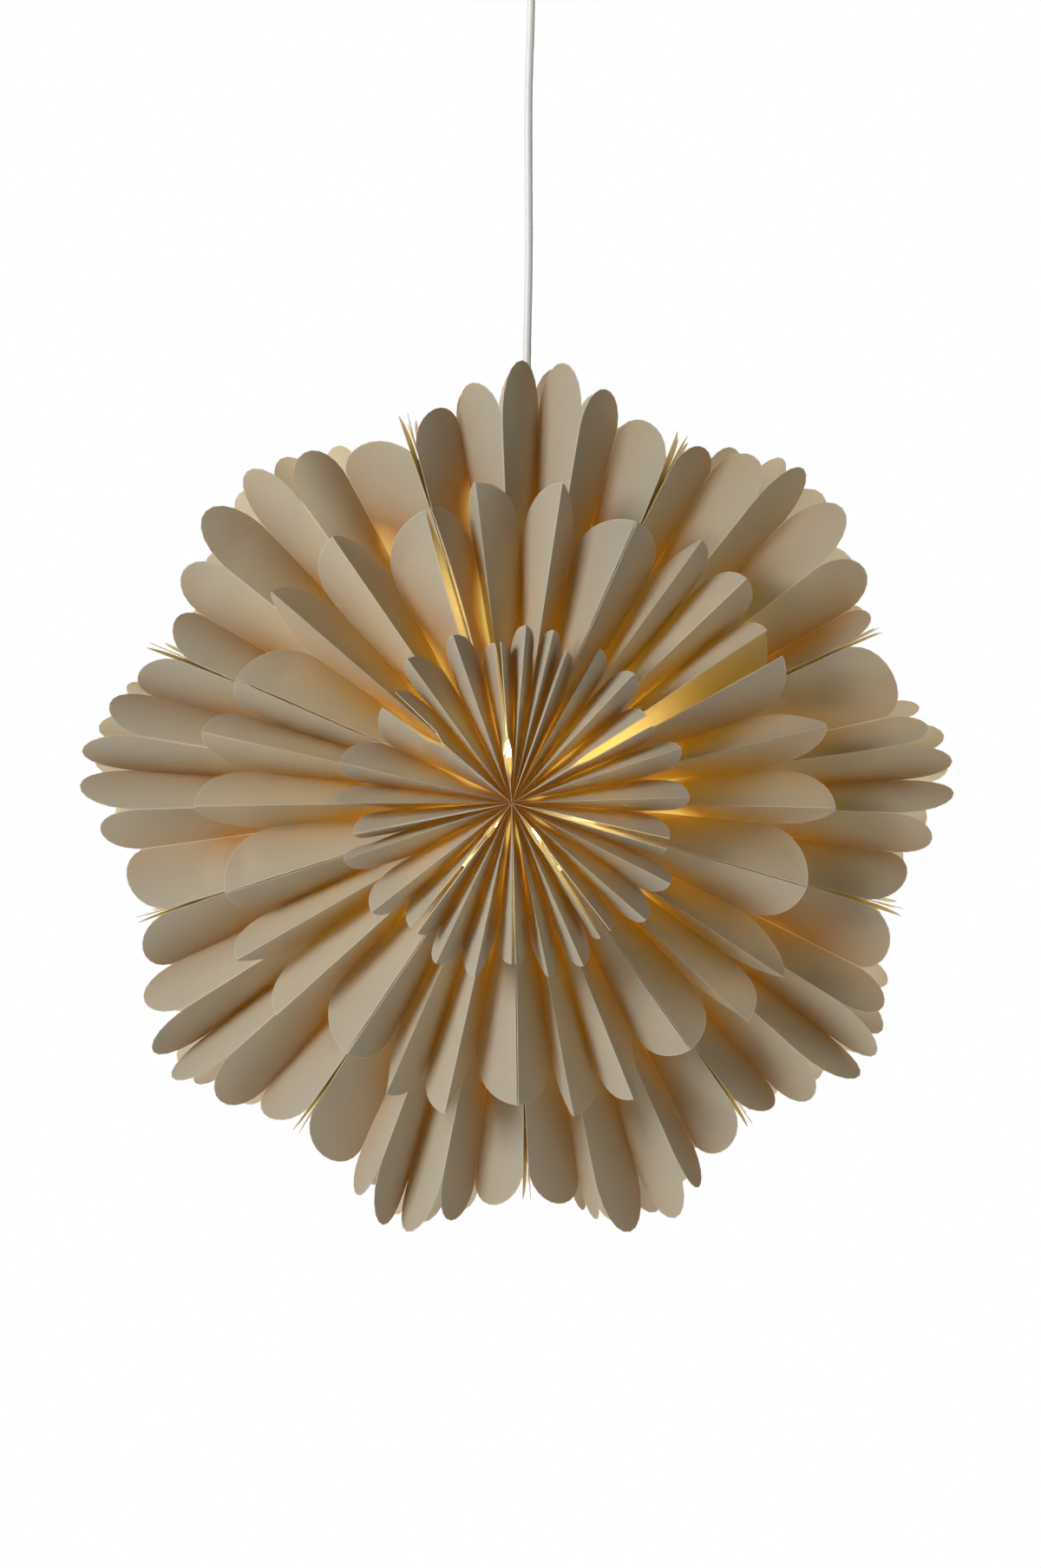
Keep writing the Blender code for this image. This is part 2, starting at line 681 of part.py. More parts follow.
def make_holder(axis, plastic, ceramic, brass):
    """The lampholder: sleeve, screw shell, insert with its contact, cap with its neck, and cord grip."""
    corner = HOLDER_LIP
    step_low, step_top = (mix(SLEEVE_LOW, SLEEVE_TOP, share) for share in SLEEVE_STEP_SHARES)
    sleeve = [
        (SLEEVE_BORE, SLEEVE_LOW),
        (SLEEVE_RADIUS - corner, SLEEVE_LOW),
        (SLEEVE_RADIUS, SLEEVE_LOW + corner),
        (SLEEVE_RADIUS, step_low),
        (SLEEVE_RADIUS - corner, step_top),
        (SLEEVE_RADIUS - corner, SLEEVE_TOP),
        (SLEEVE_BORE, SLEEVE_TOP),
    ]
    solid("holder_sleeve", turned("holder_sleeve", sleeve, 20), plastic, axis)
    inside = threads(BULB_BASE_LOW, SHELL_BORE, SHELL_ROOT, BULB_THREADS, BULB_THREAD_PITCH)
    outside = [(radius + HOLDER_METAL, height) for radius, height in reversed(inside)]
    top = INSERT_LOW - SEAT_GAP
    shell = [*inside, (SHELL_ROOT, top), (SHELL_OUTSIDE, top), *outside]
    solid("holder_screw_shell", turned("holder_screw_shell", shell, 18), brass, axis)
    insert_radius = SLEEVE_BORE - SEAT_GAP
    insert = [(0, INSERT_LOW), (insert_radius, INSERT_LOW), (insert_radius, SLEEVE_TOP), (0, SLEEVE_TOP)]
    solid("holder_insert", turned("holder_insert", insert, 18), ceramic, axis)
    contact_top = CONTACT_LOW + CONTACT_THICKNESS
    contact = [
        (0, CONTACT_LOW),
        (CONTACT_RADIUS, CONTACT_LOW),
        (CONTACT_RADIUS, contact_top),
        (0, contact_top),
    ]
    solid("holder_centre_contact", turned("holder_centre_contact", contact, 12), brass, axis)
    neck_top = CAP_TOP + HOLDER_NECK_HEIGHT
    dome = [
        (mix(GRIP_RADIUS, SLEEVE_RADIUS, out), mix(CAP_LOW, CAP_TOP, up))
        for out, up in CAP_DOME_SHARES
    ]
    cap = [
        (0, CAP_LOW),
        (SLEEVE_RADIUS, CAP_LOW),
        *dome,
        (GRIP_RADIUS, CAP_TOP),
        (HOLDER_NECK_RADIUS, CAP_TOP),
        (HOLDER_NECK_RADIUS, neck_top),
        (0, neck_top),
    ]
    solid("holder_cap", turned("holder_cap", cap, 20), plastic, axis)
    recess = HOLDER_NECK_RADIUS + SEAT_GAP
    grip = [
        (0, neck_top + SEAT_GAP),
        (recess, neck_top + SEAT_GAP),
        (recess, GRIP_LOW),
        (GRIP_RADIUS, GRIP_LOW),
        (GRIP_RADIUS, mix(GRIP_LOW, GRIP_TOP, GRIP_NUT_SHARE)),
        (mix(CORD_DIAMETER, GRIP_RADIUS, GRIP_TAPER_SHARE), mix(GRIP_LOW, GRIP_TOP, GRIP_TAPER_SHARE)),
        (CORD_DIAMETER, GRIP_TOP),
        (0, GRIP_TOP),
    ]
    solid("cord_grip", turned("cord_grip", grip, 14), plastic, axis)


def wall_face(wall, up):
    """Where a wall's middle crosses a height, across from the lamp's axis."""
    turn = radians(WALL_ANGLES[wall])
    return up * cos(turn) / sin(turn) - BULB_SIDE


def make_bracket(axis, steel):
    """The steel strip across the lampholder, whose two bent tabs lie along the walls beside the cord."""
    low, high = BRACKET_LOW, BRACKET_LOW + BRACKET_METAL
    seat = PLY + SEAT_GAP
    reach = seat + BRACKET_METAL
    outline = []
    for wall, side in ((0, 1), (1, -1)):
        lean = sin(radians(WALL_ANGLES[wall]))
        top = high + BRACKET_TAB
        outer = [(wall_face(wall, up) + side * seat / lean, up) for up in (low, top)]
        inner = [(wall_face(wall, up) + side * reach / lean, up) for up in (top, high)]
        points = [*outer, *inner]
        outline += points if wall == 0 else reversed(points)
    bracket = solid("star_bracket", prism("star_bracket", outline, BRACKET_WIDTH), steel, axis)
    hole = HOLDER_NECK_RADIUS + SEAT_GAP
    cutter = [(0, low - OVERRUN), (hole, low - OVERRUN), (hole, high + OVERRUN), (0, high + OVERRUN)]
    boolean(bracket, solid("bracket_hole", turned("bracket_hole", cutter, 16), steel, axis), "DIFFERENCE")


def smooth_route(points, spacing):
    """Points about one spacing apart on a smooth curve through the route's own points."""
    padded = [2 * points[0] - points[1], *points, 2 * points[-1] - points[-2]]
    smooth = []
    for before, start, end, after in zip(padded, padded[1:], padded[2:], padded[3:]):
        steps = max(1, ceil((end - start).length / spacing))
        for step in range(steps):
            share = step / steps
            pull = 2 * start + (end - before) * share
            pull += (2 * before - 5 * start + 4 * end - after) * share**2
            pull += (3 * start - before - 3 * end + after) * share**3
            smooth.append(pull / 2)
    return [*smooth, points[-1]]


def make_cord(parent, finish):
    """The round cord from the terminal block, through the ceiling cup, down to the cord grip."""
    lamp = STAR_SIDE + BULB_SIDE
    places = [(0, -CORD_TOP), *CORD_ROUTE, (lamp, -STAR_DROP + CORD_LOW)]
    route = [Vector((across, 0, up)) for across, up in places]
    curve = bpy.data.curves.new("cord", "CURVE")
    curve.dimensions = "3D"
    curve.bevel_depth = CORD_DIAMETER / 2
    curve.bevel_resolution = 2
    curve.use_fill_caps = True
    spline = curve.splines.new("POLY")
    points = smooth_route(route, CORD_SPACING)
    spline.points.add(len(points) - 1)
    for target, point in zip(spline.points, points):
        target.co = (*point, 1)
    spline.use_smooth = True
    solid("cord", curve, finish, parent)


def make_ceiling_fitting(plastic, steel):
    """The plate on the ceiling and, under it, the terminal block that the cord ends in."""
    plate_outline = [
        (0, -PLATE_THICKNESS),
        (PLATE_RADIUS, -PLATE_THICKNESS),
        (PLATE_RADIUS, 0),
        (0, 0),
    ]
    plate = solid("ceiling_plate", turned("ceiling_plate", plate_outline, 24), steel, None)
    hole = [
        (0, -PLATE_THICKNESS - OVERRUN),
        (PLATE_SCREW_RADIUS, -PLATE_THICKNESS - OVERRUN),
        (PLATE_SCREW_RADIUS, OVERRUN),
        (0, OVERRUN),
    ]
    for side, word in ((-1, "left"), (1, "right")):
        name = f"plate_hole_{word}"
        cutter = solid(name, turned(name, hole, 12), steel, None, (side * PLATE_SCREW_PLACE, 0, 0))
        cutter.rotation_euler = (0, 0, pi / 12)
        boolean(plate, cutter, "DIFFERENCE")
    half, cut = BLOCK_LENGTH / 2, BLOCK_CHAMFER
    low, top = -BLOCK_TOP - BLOCK_HEIGHT, -BLOCK_TOP
    block_outline = [
        (-half + cut, low),
        (half - cut, low),
        (half, low + cut),
        (half, top),
        (-half, top),
        (-half, low + cut),
    ]
    block = solid("terminal_block", prism("terminal_block", block_outline, BLOCK_WIDTH), plastic, None)
    for side, word in ((-1, "left"), (1, "right")):
        tower = [
            (0, -OVERRUN),
            (BLOCK_TOWER_RADIUS, -OVERRUN),
            (BLOCK_TOWER_RADIUS, BLOCK_TOWER_HEIGHT),
            (0, BLOCK_TOWER_HEIGHT),
        ]
        name = f"terminal_tower_{word}"
        made = solid(name, turned(name, tower, 12), plastic, None)
        made.rotation_euler = (pi / 2, 0, 0)
        made.location = (side * half / 2, -BLOCK_WIDTH / 2, (low + top) / 2)
        boolean(block, made, "UNION")


def make_cup(plastic):
    """The cup that covers the ceiling fitting and the collar that holds it on the cord."""
    floor = -CUP_HEIGHT
    hole = CUP_GRIP_NECK_RADIUS + SEAT_GAP
    inner_corner = CUP_CORNER - CUP_WALL
    corner_centre = (CUP_FLOOR_RADIUS - CUP_CORNER, floor + CUP_CORNER)
    cup = [
        (hole, floor),
        *arc(corner_centre, CUP_CORNER, -90, 0, 4),
        (CUP_RIM_RADIUS, -SEAT_GAP),
        (CUP_RIM_RADIUS - CUP_WALL, -SEAT_GAP),
        *arc(corner_centre, inner_corner, 0, -90, 4),
        (hole, floor + CUP_WALL),
    ]
    axis = empty("cup_axis", (0, 0, 0))
    solid("ceiling_cup", turned("ceiling_cup", cup, 28), plastic, axis)
    bore = CORD_DIAMETER / 2 + CUP_GRIP_BORE_GAP
    seat = floor - SEAT_GAP
    low = seat - CUP_GRIP_HEIGHT
    top = seat + CUP_GRIP_NECK_HEIGHT
    grip = [
        (bore, low),
        (CUP_GRIP_RADIUS - CUP_GRIP_CORNER, low),
        (CUP_GRIP_RADIUS, low + CUP_GRIP_CORNER),
        (CUP_GRIP_RADIUS, seat),
        (CUP_GRIP_NECK_RADIUS, seat),
        (CUP_GRIP_NECK_RADIUS, top),
        (bore, top),
    ]
    solid("cup_collar", turned("cup_collar", grip, 16), plastic, axis)


def main():
    """Builds the star from its centre outwards, then what it hangs on."""
    clear_scene()
    paper = material("greige_paper", (0.47, 0.42, 0.35), 0.85)
    plastic = material("white_plastic", (0.82, 0.82, 0.80), 0.45)
    cable = material("white_cable", (0.78, 0.79, 0.77), 0.50)
    ceramic = material("pale_ceramic", (0.85, 0.83, 0.78), 0.40)
    steel = material("zinc_steel", (0.62, 0.63, 0.65), 0.35, 1.0)
    brass = material("brass", (0.72, 0.56, 0.28), 0.30, 1.0)
    glass = material("frosted_glass", (0.95, 0.92, 0.84), 0.55)
    metal = material("bulb_base_metal", (0.70, 0.70, 0.70), 0.30, 1.0)
    swivel = empty("swivel_axis", (0, 0, 0))
    centre = empty("star_centre", (STAR_SIDE, 0, -STAR_DROP), swivel)
    holder_axis = empty("holder_axis", (BULB_SIDE, 0, 0), centre)
    bulb_axis = empty("bulb_axis", (BULB_SIDE, 0, 0), centre)
    make_paper(centre, paper)
    make_bulb(bulb_axis, glass, metal)
    make_holder(holder_axis, plastic, ceramic, brass)
    make_bracket(holder_axis, steel)
    make_cord(swivel, cable)
    make_ceiling_fitting(plastic, steel)
    make_cup(plastic)


main()
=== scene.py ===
"""A lit paper star on its cord: folded paper petals in three rings round a bulb, hung from a ceiling cup.

Metres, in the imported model's own frame. The star's axis lies along Y and its front looks along -Y. Angles in
the star are in degrees, anticlockwise from the right as seen from the front. A depth is a distance from the
star's middle plane, the same on the front and on the back.
"""

import logging
from dataclasses import dataclass, field
from enum import Enum, IntEnum

import bpy
import numpy as np
from bpy.types import ID, Material, Node, NodeSocket, Object, World
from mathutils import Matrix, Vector


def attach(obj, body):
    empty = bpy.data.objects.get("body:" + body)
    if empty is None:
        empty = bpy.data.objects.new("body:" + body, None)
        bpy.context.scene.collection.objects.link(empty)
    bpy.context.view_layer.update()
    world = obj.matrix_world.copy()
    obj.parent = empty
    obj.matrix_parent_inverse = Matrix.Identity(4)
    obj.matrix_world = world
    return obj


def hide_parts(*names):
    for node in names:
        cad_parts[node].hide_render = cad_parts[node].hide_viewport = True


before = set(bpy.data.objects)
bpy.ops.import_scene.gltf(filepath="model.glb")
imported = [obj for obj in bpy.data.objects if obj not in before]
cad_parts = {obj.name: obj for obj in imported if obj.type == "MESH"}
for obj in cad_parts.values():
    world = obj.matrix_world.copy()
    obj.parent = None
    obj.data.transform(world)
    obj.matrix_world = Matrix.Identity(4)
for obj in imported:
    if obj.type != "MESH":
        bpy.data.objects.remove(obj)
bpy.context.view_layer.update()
LOG = logging.getLogger("paper_star")
Array = np.ndarray
Layer = np.ndarray | None  # a number at each point, where a mesh has it
Colour = tuple[float, float, float]
NodeValue = NodeSocket | float | tuple

STAR_CENTRE = np.array((-0.0082, 0.0, -0.640))
LAMP_AXIS = np.array((-0.0032, 0.0, -0.640))
SEGMENTS = 9
SHEET = 0.00034  # one sheet of the star's paper


class Face(IntEnum):
    """The two faces of the star, as the sign of Y."""

    FRONT = -1
    BACK = 1


class Slot(Enum):
    """The record's material slots that the pieces made here match."""

    PAPER = "paper"
    WHITE_PLASTIC = "white_plastic"
    WHITE_CABLE = "white_cable"
    FROSTED_GLASS = "frosted_glass"
    BULB_BASE = "bulb_base_metal"


# Finishes


class NodeBoard:
    """The node tree of a material or a world, with short calls to add and join nodes."""

    def __init__(self, name: str, world: bool = False) -> None:
        """Starts an empty material or world.

        Args:
            name: Its name.
            world: Whether it is a world.
        """
        self.owner = (bpy.data.worlds if world else bpy.data.materials).new(name)
        self.owner.use_nodes = True
        self.tree = self.owner.node_tree
        self.tree.nodes.clear()
        self.output = self.add("ShaderNodeOutputWorld" if world else "ShaderNodeOutputMaterial")

    def feed(self, target: NodeSocket, value: NodeValue) -> None:
        """Links an output to an input, or sets the input's value; a colour of three parts gets an alpha of 1.

        Args:
            target: The input.
            value: A value or an output socket.
        """
        if isinstance(value, NodeSocket):
            self.tree.links.new(value, target)
        elif isinstance(value, tuple) and len(value) == 3:
            target.default_value = (*value, 1.0)
        else:
            target.default_value = value

    def add(self, kind: str, settings: dict[str, str] | None = None, **inputs: NodeValue) -> Node:
        """Adds a node.

        Args:
            kind: The node's type name.
            settings: Values for the node's own properties.
            **inputs: Values or sockets for its inputs, by name with underscores for spaces or as i0, i1.

        Returns:
            The new node.
        """
        node = self.tree.nodes.new(kind)
        for key, value in (settings or {}).items():
            setattr(node, key, value)
        for key, value in inputs.items():
            numbered = key[0] == "i" and key[1:].isdigit()
            self.feed(node.inputs[int(key[1:]) if numbered else key.replace("_", " ")], value)
        return node

    def bump(self, strength: float, distance: float, height: NodeSocket) -> NodeSocket:
        """The normal of a surface raised by a height."""
        node = self.add("ShaderNodeBump", Strength=strength, Distance=distance, Height=height)
        return node.outputs["Normal"]

    def attribute(self, name: str) -> NodeSocket:
        """A number that the mesh stores at its points."""
        return self.add("ShaderNodeAttribute", {"attribute_name": name}).outputs["Fac"]

    def calculate(self, operation: str, first: NodeValue, second: NodeValue) -> NodeSocket:
        """The result of a Math node's operation on two numbers."""
        return self.add("ShaderNodeMath", {"operation": operation}, i0=first, i1=second).outputs[0]

    def noise(self, place: NodeSocket, scale: float, detail: float = 2.0) -> NodeSocket:
        """Noise between 0 and 1 over object coordinates.

        Args:
            place: The coordinates.
            scale: Cells per metre.
            detail: Octaves.

        Returns:
            The noise value's socket.
        """
        return self.add("ShaderNodeTexNoise", Vector=place, Scale=scale, Detail=detail).outputs["Fac"]

    def ramp(
        self, value: NodeSocket, low: float, high: float, start: float = 0.0, end: float = 1.0
    ) -> NodeSocket:
        """Maps a value from one range to another and holds it at the ends.

        Args:
            value: The value's socket.
            low: Where the first end lies.
            high: Where the second end lies.
            start: Result at low.
            end: Result at high.

        Returns:
            The result's socket.
        """
        node = self.add("ShaderNodeMapRange", Value=value, i1=low, i2=high, i3=start, i4=end)
        return node.outputs["Result"]

    def blend(self, share: NodeValue, first: NodeValue, second: NodeValue) -> NodeSocket:
        """Mixes two colours.

        Args:
            share: How much of the second colour.
            first: A colour or a socket.
            second: A colour or a socket.

        Returns:
            The colour's socket.
        """
        return self.add("ShaderNodeMix", {"data_type": "RGBA"}, i0=share, i6=first, i7=second).outputs[2]

    def mix(self, share: NodeValue, first: Node, second: Node) -> Node:
        """Mixes two shaders, with a share of the second."""
        return self.add("ShaderNodeMixShader", Fac=share, i1=first.outputs[0], i2=second.outputs[0])

    def finish(self, shader: Node) -> Material | World:
        """Ends the tree in a shader's node and gives the material or world."""
        self.feed(self.output.inputs["Surface"], shader.outputs[0])
        return self.owner


def tint(colour: Colour, share: float) -> Colour:
    """A colour made lighter or darker by a factor."""
    return tuple(min(part * share, 1.0) for part in colour)


@dataclass(frozen=True)
class PaperFinish:
    """Greige card with a fine grain and a painted highlight along its folds and cut edges, through which a
    little light comes.

    The mesh's painted glow attribute paints on a glow that the bulb alone doesn't give in the render, and that
    stays when the bulb is out. From 0 to 1 the colour darkens towards a painted valley shade and the paper
    emits a painted glow; from 1 to 2 the painted glow grows and turns to gilt. Its colours and strengths are
    fitted to the photograph.
    """

    colour: Colour = (0.490, 0.465, 0.385)
    through: Colour = (0.93, 0.72, 0.10)
    painted_edge_highlight: Colour = (0.86, 0.76, 0.63)
    through_share: float = 0.21
    roughness: float = 0.82
    fold_half_width: float = 0.0008
    rim_width: float = 0.0007
    name: str = "greige_star_paper"
    ember: Colour = (1.0, 0.33, 0.01)
    painted_glow_strength: float = 0.13
    painted_valley_shade: Colour = (0.18, 0.090, 0.030)
    painted_valley_shade_share: float = 0.75
    gilt_painted_glow: Colour = (1.0, 0.83, 0.24)
    gilt_painted_glow_strength: float = 0.40

    def make(self) -> Material:
        """Builds the material. The painted highlight at folds and rims comes from the mesh's own distances to
        them.
        """
        board = NodeBoard(self.name)
        place = board.add("ShaderNodeTexCoord").outputs["Object"]
        cloud = board.noise(place, 14.0, 3.0)
        fibre = board.noise(place, 2600.0, 2.0)
        grain = board.noise(place, 900.0, 3.0)
        colour = board.blend(board.ramp(cloud, 0.3, 0.7), tint(self.colour, 0.965), tint(self.colour, 1.035))
        colour = board.blend(board.ramp(fibre, 0.35, 0.65, 0.0, 0.5), colour, tint(self.colour, 1.07))
        ember = board.attribute("ember")
        # painted valley shade: the colour darkens as the painted glow attribute grows
        colour = board.blend(board.ramp(ember, 0.0, 1.0, 0.0, self.painted_valley_shade_share), colour, self.painted_valley_shade)
        # painted highlight along the folds and the cut rims
        at_fold = board.ramp(board.attribute("fold_distance"), 0.0, self.fold_half_width, 0.9, 0.0)
        at_rim = board.ramp(board.attribute("rim_distance"), 0.0, self.rim_width, 0.75, 0.0)
        colour = board.blend(board.calculate("MAXIMUM", at_fold, at_rim), colour, self.painted_edge_highlight)
        bump = board.bump(0.10, 0.0003, grain)
        # painted glow: the paper emits light that grows with the attribute and turns to gilt past 1
        low = board.ramp(ember, 0.0, 1.0, 0.0, self.painted_glow_strength)
        high = board.ramp(ember, 1.0, 2.0, 0.0, self.gilt_painted_glow_strength)
        surface = board.add(
            "ShaderNodeBsdfPrincipled",
            Base_Color=colour,
            Roughness=self.roughness,
            Normal=bump,
            Specular_IOR_Level=0.25,
            Emission_Color=board.blend(board.ramp(ember, 1.0, 2.0), self.ember, self.gilt_painted_glow),
            Emission_Strength=board.calculate("ADD", low, high),
        )
        glow = board.add("ShaderNodeBsdfTranslucent", Color=self.through, Normal=bump)
        return board.finish(board.mix(self.through_share, surface, glow))


@dataclass(frozen=True)
class MouldedFinish:
    """Moulded plastic or cable sheath: a satin colour with slight cloudiness and a fine skin."""

    name: str
    colour: Colour
    roughness: float = 0.42
    grain: float = 1400.0
    depth: float = 0.05

    def make(self) -> Material:
        """Builds the material."""
        board = NodeBoard(self.name)
        place = board.add("ShaderNodeTexCoord").outputs["Object"]
        cloud = board.noise(place, 40.0, 2.0)
        skin = board.noise(place, self.grain, 2.0)
        colour = board.blend(board.ramp(cloud, 0.3, 0.7), tint(self.colour, 0.975), tint(self.colour, 1.02))
        bump = board.bump(self.depth, 0.0002, skin)
        rough = board.ramp(skin, 0.3, 0.7, self.roughness - 0.05, self.roughness + 0.05)
        surface = board.add("ShaderNodeBsdfPrincipled", Base_Color=colour, Roughness=rough, Normal=bump)
        return board.finish(surface)


@dataclass(frozen=True)
class MetalFinish:
    """Plated or pressed metal with clouds of tarnish and a fine grain."""

    name: str
    colour: Colour
    roughness: float = 0.32
    tarnish: float = 0.82

    def make(self) -> Material:
        """Builds the material."""
        board = NodeBoard(self.name)
        place = board.add("ShaderNodeTexCoord").outputs["Object"]
        cloud = board.noise(place, 120.0, 4.0)
        fine = board.noise(place, 3000.0, 2.0)
        colour = board.blend(board.ramp(cloud, 0.35, 0.75), self.colour, tint(self.colour, self.tarnish))
        rough = board.ramp(cloud, 0.3, 0.7, self.roughness - 0.07, self.roughness + 0.10)
        bump = board.bump(0.04, 0.0001, fine)
        skin = {"Roughness": rough, "Normal": bump, "Metallic": 1.0}
        surface = board.add("ShaderNodeBsdfPrincipled", Base_Color=colour, **skin)
        return board.finish(surface)


@dataclass(frozen=True)
class LitGlassFinish:
    """White frosted glass that glows warm and even."""

    colour: Colour = (0.95, 0.92, 0.84)
    light: Colour = (1.0, 0.88, 0.40)
    strength: float = 330.0

    def make(self) -> Material:
        """Builds the material."""
        board = NodeBoard("lit_frosted_glass")
        place = board.add("ShaderNodeTexCoord").outputs["Object"]
        frost = board.noise(place, 1800.0, 2.0)
        colour = board.blend(board.ramp(frost, 0.3, 0.7), tint(self.colour, 0.96), self.colour)
        surface = board.add(
            "ShaderNodeBsdfPrincipled",
            Base_Color=colour,
            Roughness=0.5,
            Emission_Color=self.light,
            Emission_Strength=self.strength,
        )
        return board.finish(surface)


# Meshes


def link(name: str, data: ID) -> Object:
    """Makes an object of its data and puts it in the scene."""
    made = bpy.data.objects.new(name, data)
    bpy.context.scene.collection.objects.link(made)
    return made


def both_skins(value: Layer) -> Layer:
    """A grid's values for the two skins of a sheet, one after the other."""
    return None if value is None else np.tile(value.reshape(-1), 2)


@dataclass
class SheetStack:
    """Gathers closed sheets and turned bodies worked out as grids of points, and makes one mesh of them."""

    name: str
    points: list = field(default_factory=list)
    quads: list = field(default_factory=list)
    folds: list = field(default_factory=list)
    rims: list = field(default_factory=list)
    painted_glows: list = field(default_factory=list)
    count: int = 0

    def add(
        self, points: Array, quads: Array, fold: Layer = None, rim: Layer = None, ember: Layer = None
    ) -> None:
        """Adds points with their faces.

        Args:
            points: Places, n by 3.
            quads: Corner numbers, m by 4.
            fold: Distance of each point from the nearest fold.
            rim: Distance of each point from the cut rim.
            ember: The amount of painted glow, and of painted shade under it, at each point; it grows no more
                past 2.
        """
        far = np.full(len(points), 1.0)
        self.points.append(points)
        self.quads.append(quads + self.count)
        self.folds.append(far if fold is None else fold)
        self.rims.append(far if rim is None else rim)
        self.painted_glows.append(np.zeros(len(points)) if ember is None else ember)
        self.count += len(points)

    def add_sheet(
        self, grid: Array, thickness: Array | float, fold: Layer, rim: Layer, ember: Layer
    ) -> None:
        """Adds a sheet: the grid's surface, half the thickness to each side, closed along its border.

        The normal at a point is the cross product of the steps along the grid's columns and along its rows.

        Args:
            grid: Places, rows by columns by 3.
            thickness: The sheet's thickness, one number or rows by columns.
            fold: Distance from the nearest fold, rows by columns.
            rim: Distance from the cut rim, rows by columns.
            ember: The amount of painted glow and painted shade, rows by columns.
        """
        rows, columns = grid.shape[:2]
        across = np.gradient(grid, axis=1)
        along = np.gradient(grid, axis=0)
        normal = np.cross(across, along)
        normal /= np.maximum(np.linalg.norm(normal, axis=2, keepdims=True), 1e-12)
        half = np.broadcast_to(np.asarray(thickness) / 2, (rows, columns))[..., None]
        skins = np.stack((grid + normal * half, grid - normal * half)).reshape(-1, 3)
        number = np.arange(rows * columns).reshape(rows, columns)
        under = number + rows * columns
        a, b, c, d = number[:-1, :-1], number[:-1, 1:], number[1:, 1:], number[1:, :-1]
        e, f, g, h = under[:-1, :-1], under[:-1, 1:], under[1:, 1:], under[1:, :-1]
        faces = [np.stack((a, b, c, d), axis=-1), np.stack((h, g, f, e), axis=-1)]
        sides = (number[0, ::-1], number[1:, 0], number[-1, 1:], number[-2:0:-1, -1], number[0, -1:])
        border = np.concatenate(sides)
        onwards = np.roll(border, -1)
        keep = border != onwards
        border, onwards = border[keep], onwards[keep]
        faces.append(np.stack((border, onwards, onwards + rows * columns, border + rows * columns), axis=-1))
        quads = np.concatenate([part.reshape(-1, 4) for part in faces])
        self.add(skins, quads, both_skins(fold), both_skins(rim), both_skins(ember))

    def finish(self, material: Material, crease: float) -> Object:
        """Makes the object, validated, with edges sharp past the crease angle.

        Args:
            material: The finish.
            crease: Degrees past which an edge is sharp.

        Returns:
            The object, at the origin.
        """
        mesh = bpy.data.meshes.new(self.name)
        points = np.concatenate(self.points)
        quads = np.concatenate(self.quads)
        mesh.from_pydata(points.tolist(), [], quads.tolist())
        layers = {"fold_distance": self.folds, "rim_distance": self.rims, "ember": self.painted_glows}
        for name, parts in layers.items():
            values = np.concatenate(parts).astype(np.float32)
            mesh.attributes.new(name, "FLOAT", "POINT").data.foreach_set("value", values)
        mesh.materials.append(material)
        mesh.validate()
        mesh.shade_smooth()
        mesh.set_sharp_from_angle(angle=np.radians(crease))
        return link(self.name, mesh)


def turned(
    name: str,
    points: Array,
    sides: int,
    material: Material,
    centre: Array = LAMP_AXIS,
    closed: bool = False,
    crease: float = 35.0,
) -> Object:
    """Makes a body turned about Z: radius times (cos, sin) round the axis at each point of an outline.

    Args:
        name: The piece's name.
        points: Points of radius and height, n by 2, anticlockwise as seen with the axis on the left.
        sides: Steps round the axis.
        material: The finish.
        centre: Where the axis stands and heights begin.
        closed: Whether the outline closes on itself; otherwise it starts and ends on the axis.
        crease: Degrees past which an edge is sharp.

    Returns:
        The piece.
    """
    turn = np.linspace(0.0, 2 * np.pi, sides, endpoint=False)
    radius, height = points[:, 0:1], points[:, 1:2]
    heights = np.broadcast_to(height, (len(points), sides))
    grid = np.stack((radius * np.cos(turn), radius * np.sin(turn), heights), -1)
    number = np.arange(len(points) * sides).reshape(len(points), sides)
    lower, upper = (number, np.roll(number, -1, axis=0)) if closed else (number[:-1], number[1:])
    lower_next, upper_next = np.roll(lower, -1, axis=1), np.roll(upper, -1, axis=1)
    quads = np.stack((lower, lower_next, upper_next, upper), axis=-1).reshape(-1, 4)
    stack = SheetStack(name)
    stack.add(grid.reshape(-1, 3) + centre, quads)
    return stack.finish(material, crease)


def star_point(angle: Array, radius: Array, depth: Array, face: Face, aside: Array | float = 0.0) -> Array:
    """Places in the star: (r cos a - s sin a, face d, r sin a + s cos a) from its centre.

    Args:
        angle: Degrees.
        radius: Distance from the star's axis.
        depth: Distance from the middle plane.
        face: Front or back.
        aside: A step square to the radius, anticlockwise.

    Returns:
        The places, with a last axis of 3.
    """
    turn = np.radians(angle)
    across = radius * np.cos(turn) - aside * np.sin(turn)
    up = radius * np.sin(turn) + aside * np.cos(turn)
    return np.stack(np.broadcast_arrays(across, face * depth, up), axis=-1) + STAR_CENTRE


def smooth_step(value: Array, low: float, high: float) -> Array:
    """0 below low, 1 above high, and 3t² - 2t³ between them."""
    share = np.clip((value - low) / (high - low), 0.0, 1.0)
    return share * share * (3 - 2 * share)


def hump(value: Array, place: float, reach: float) -> Array:
    """exp(-((value - place) / reach)²): 1 at the place, falling off to both sides."""
    return np.exp(-(((value - place) / reach) ** 2))


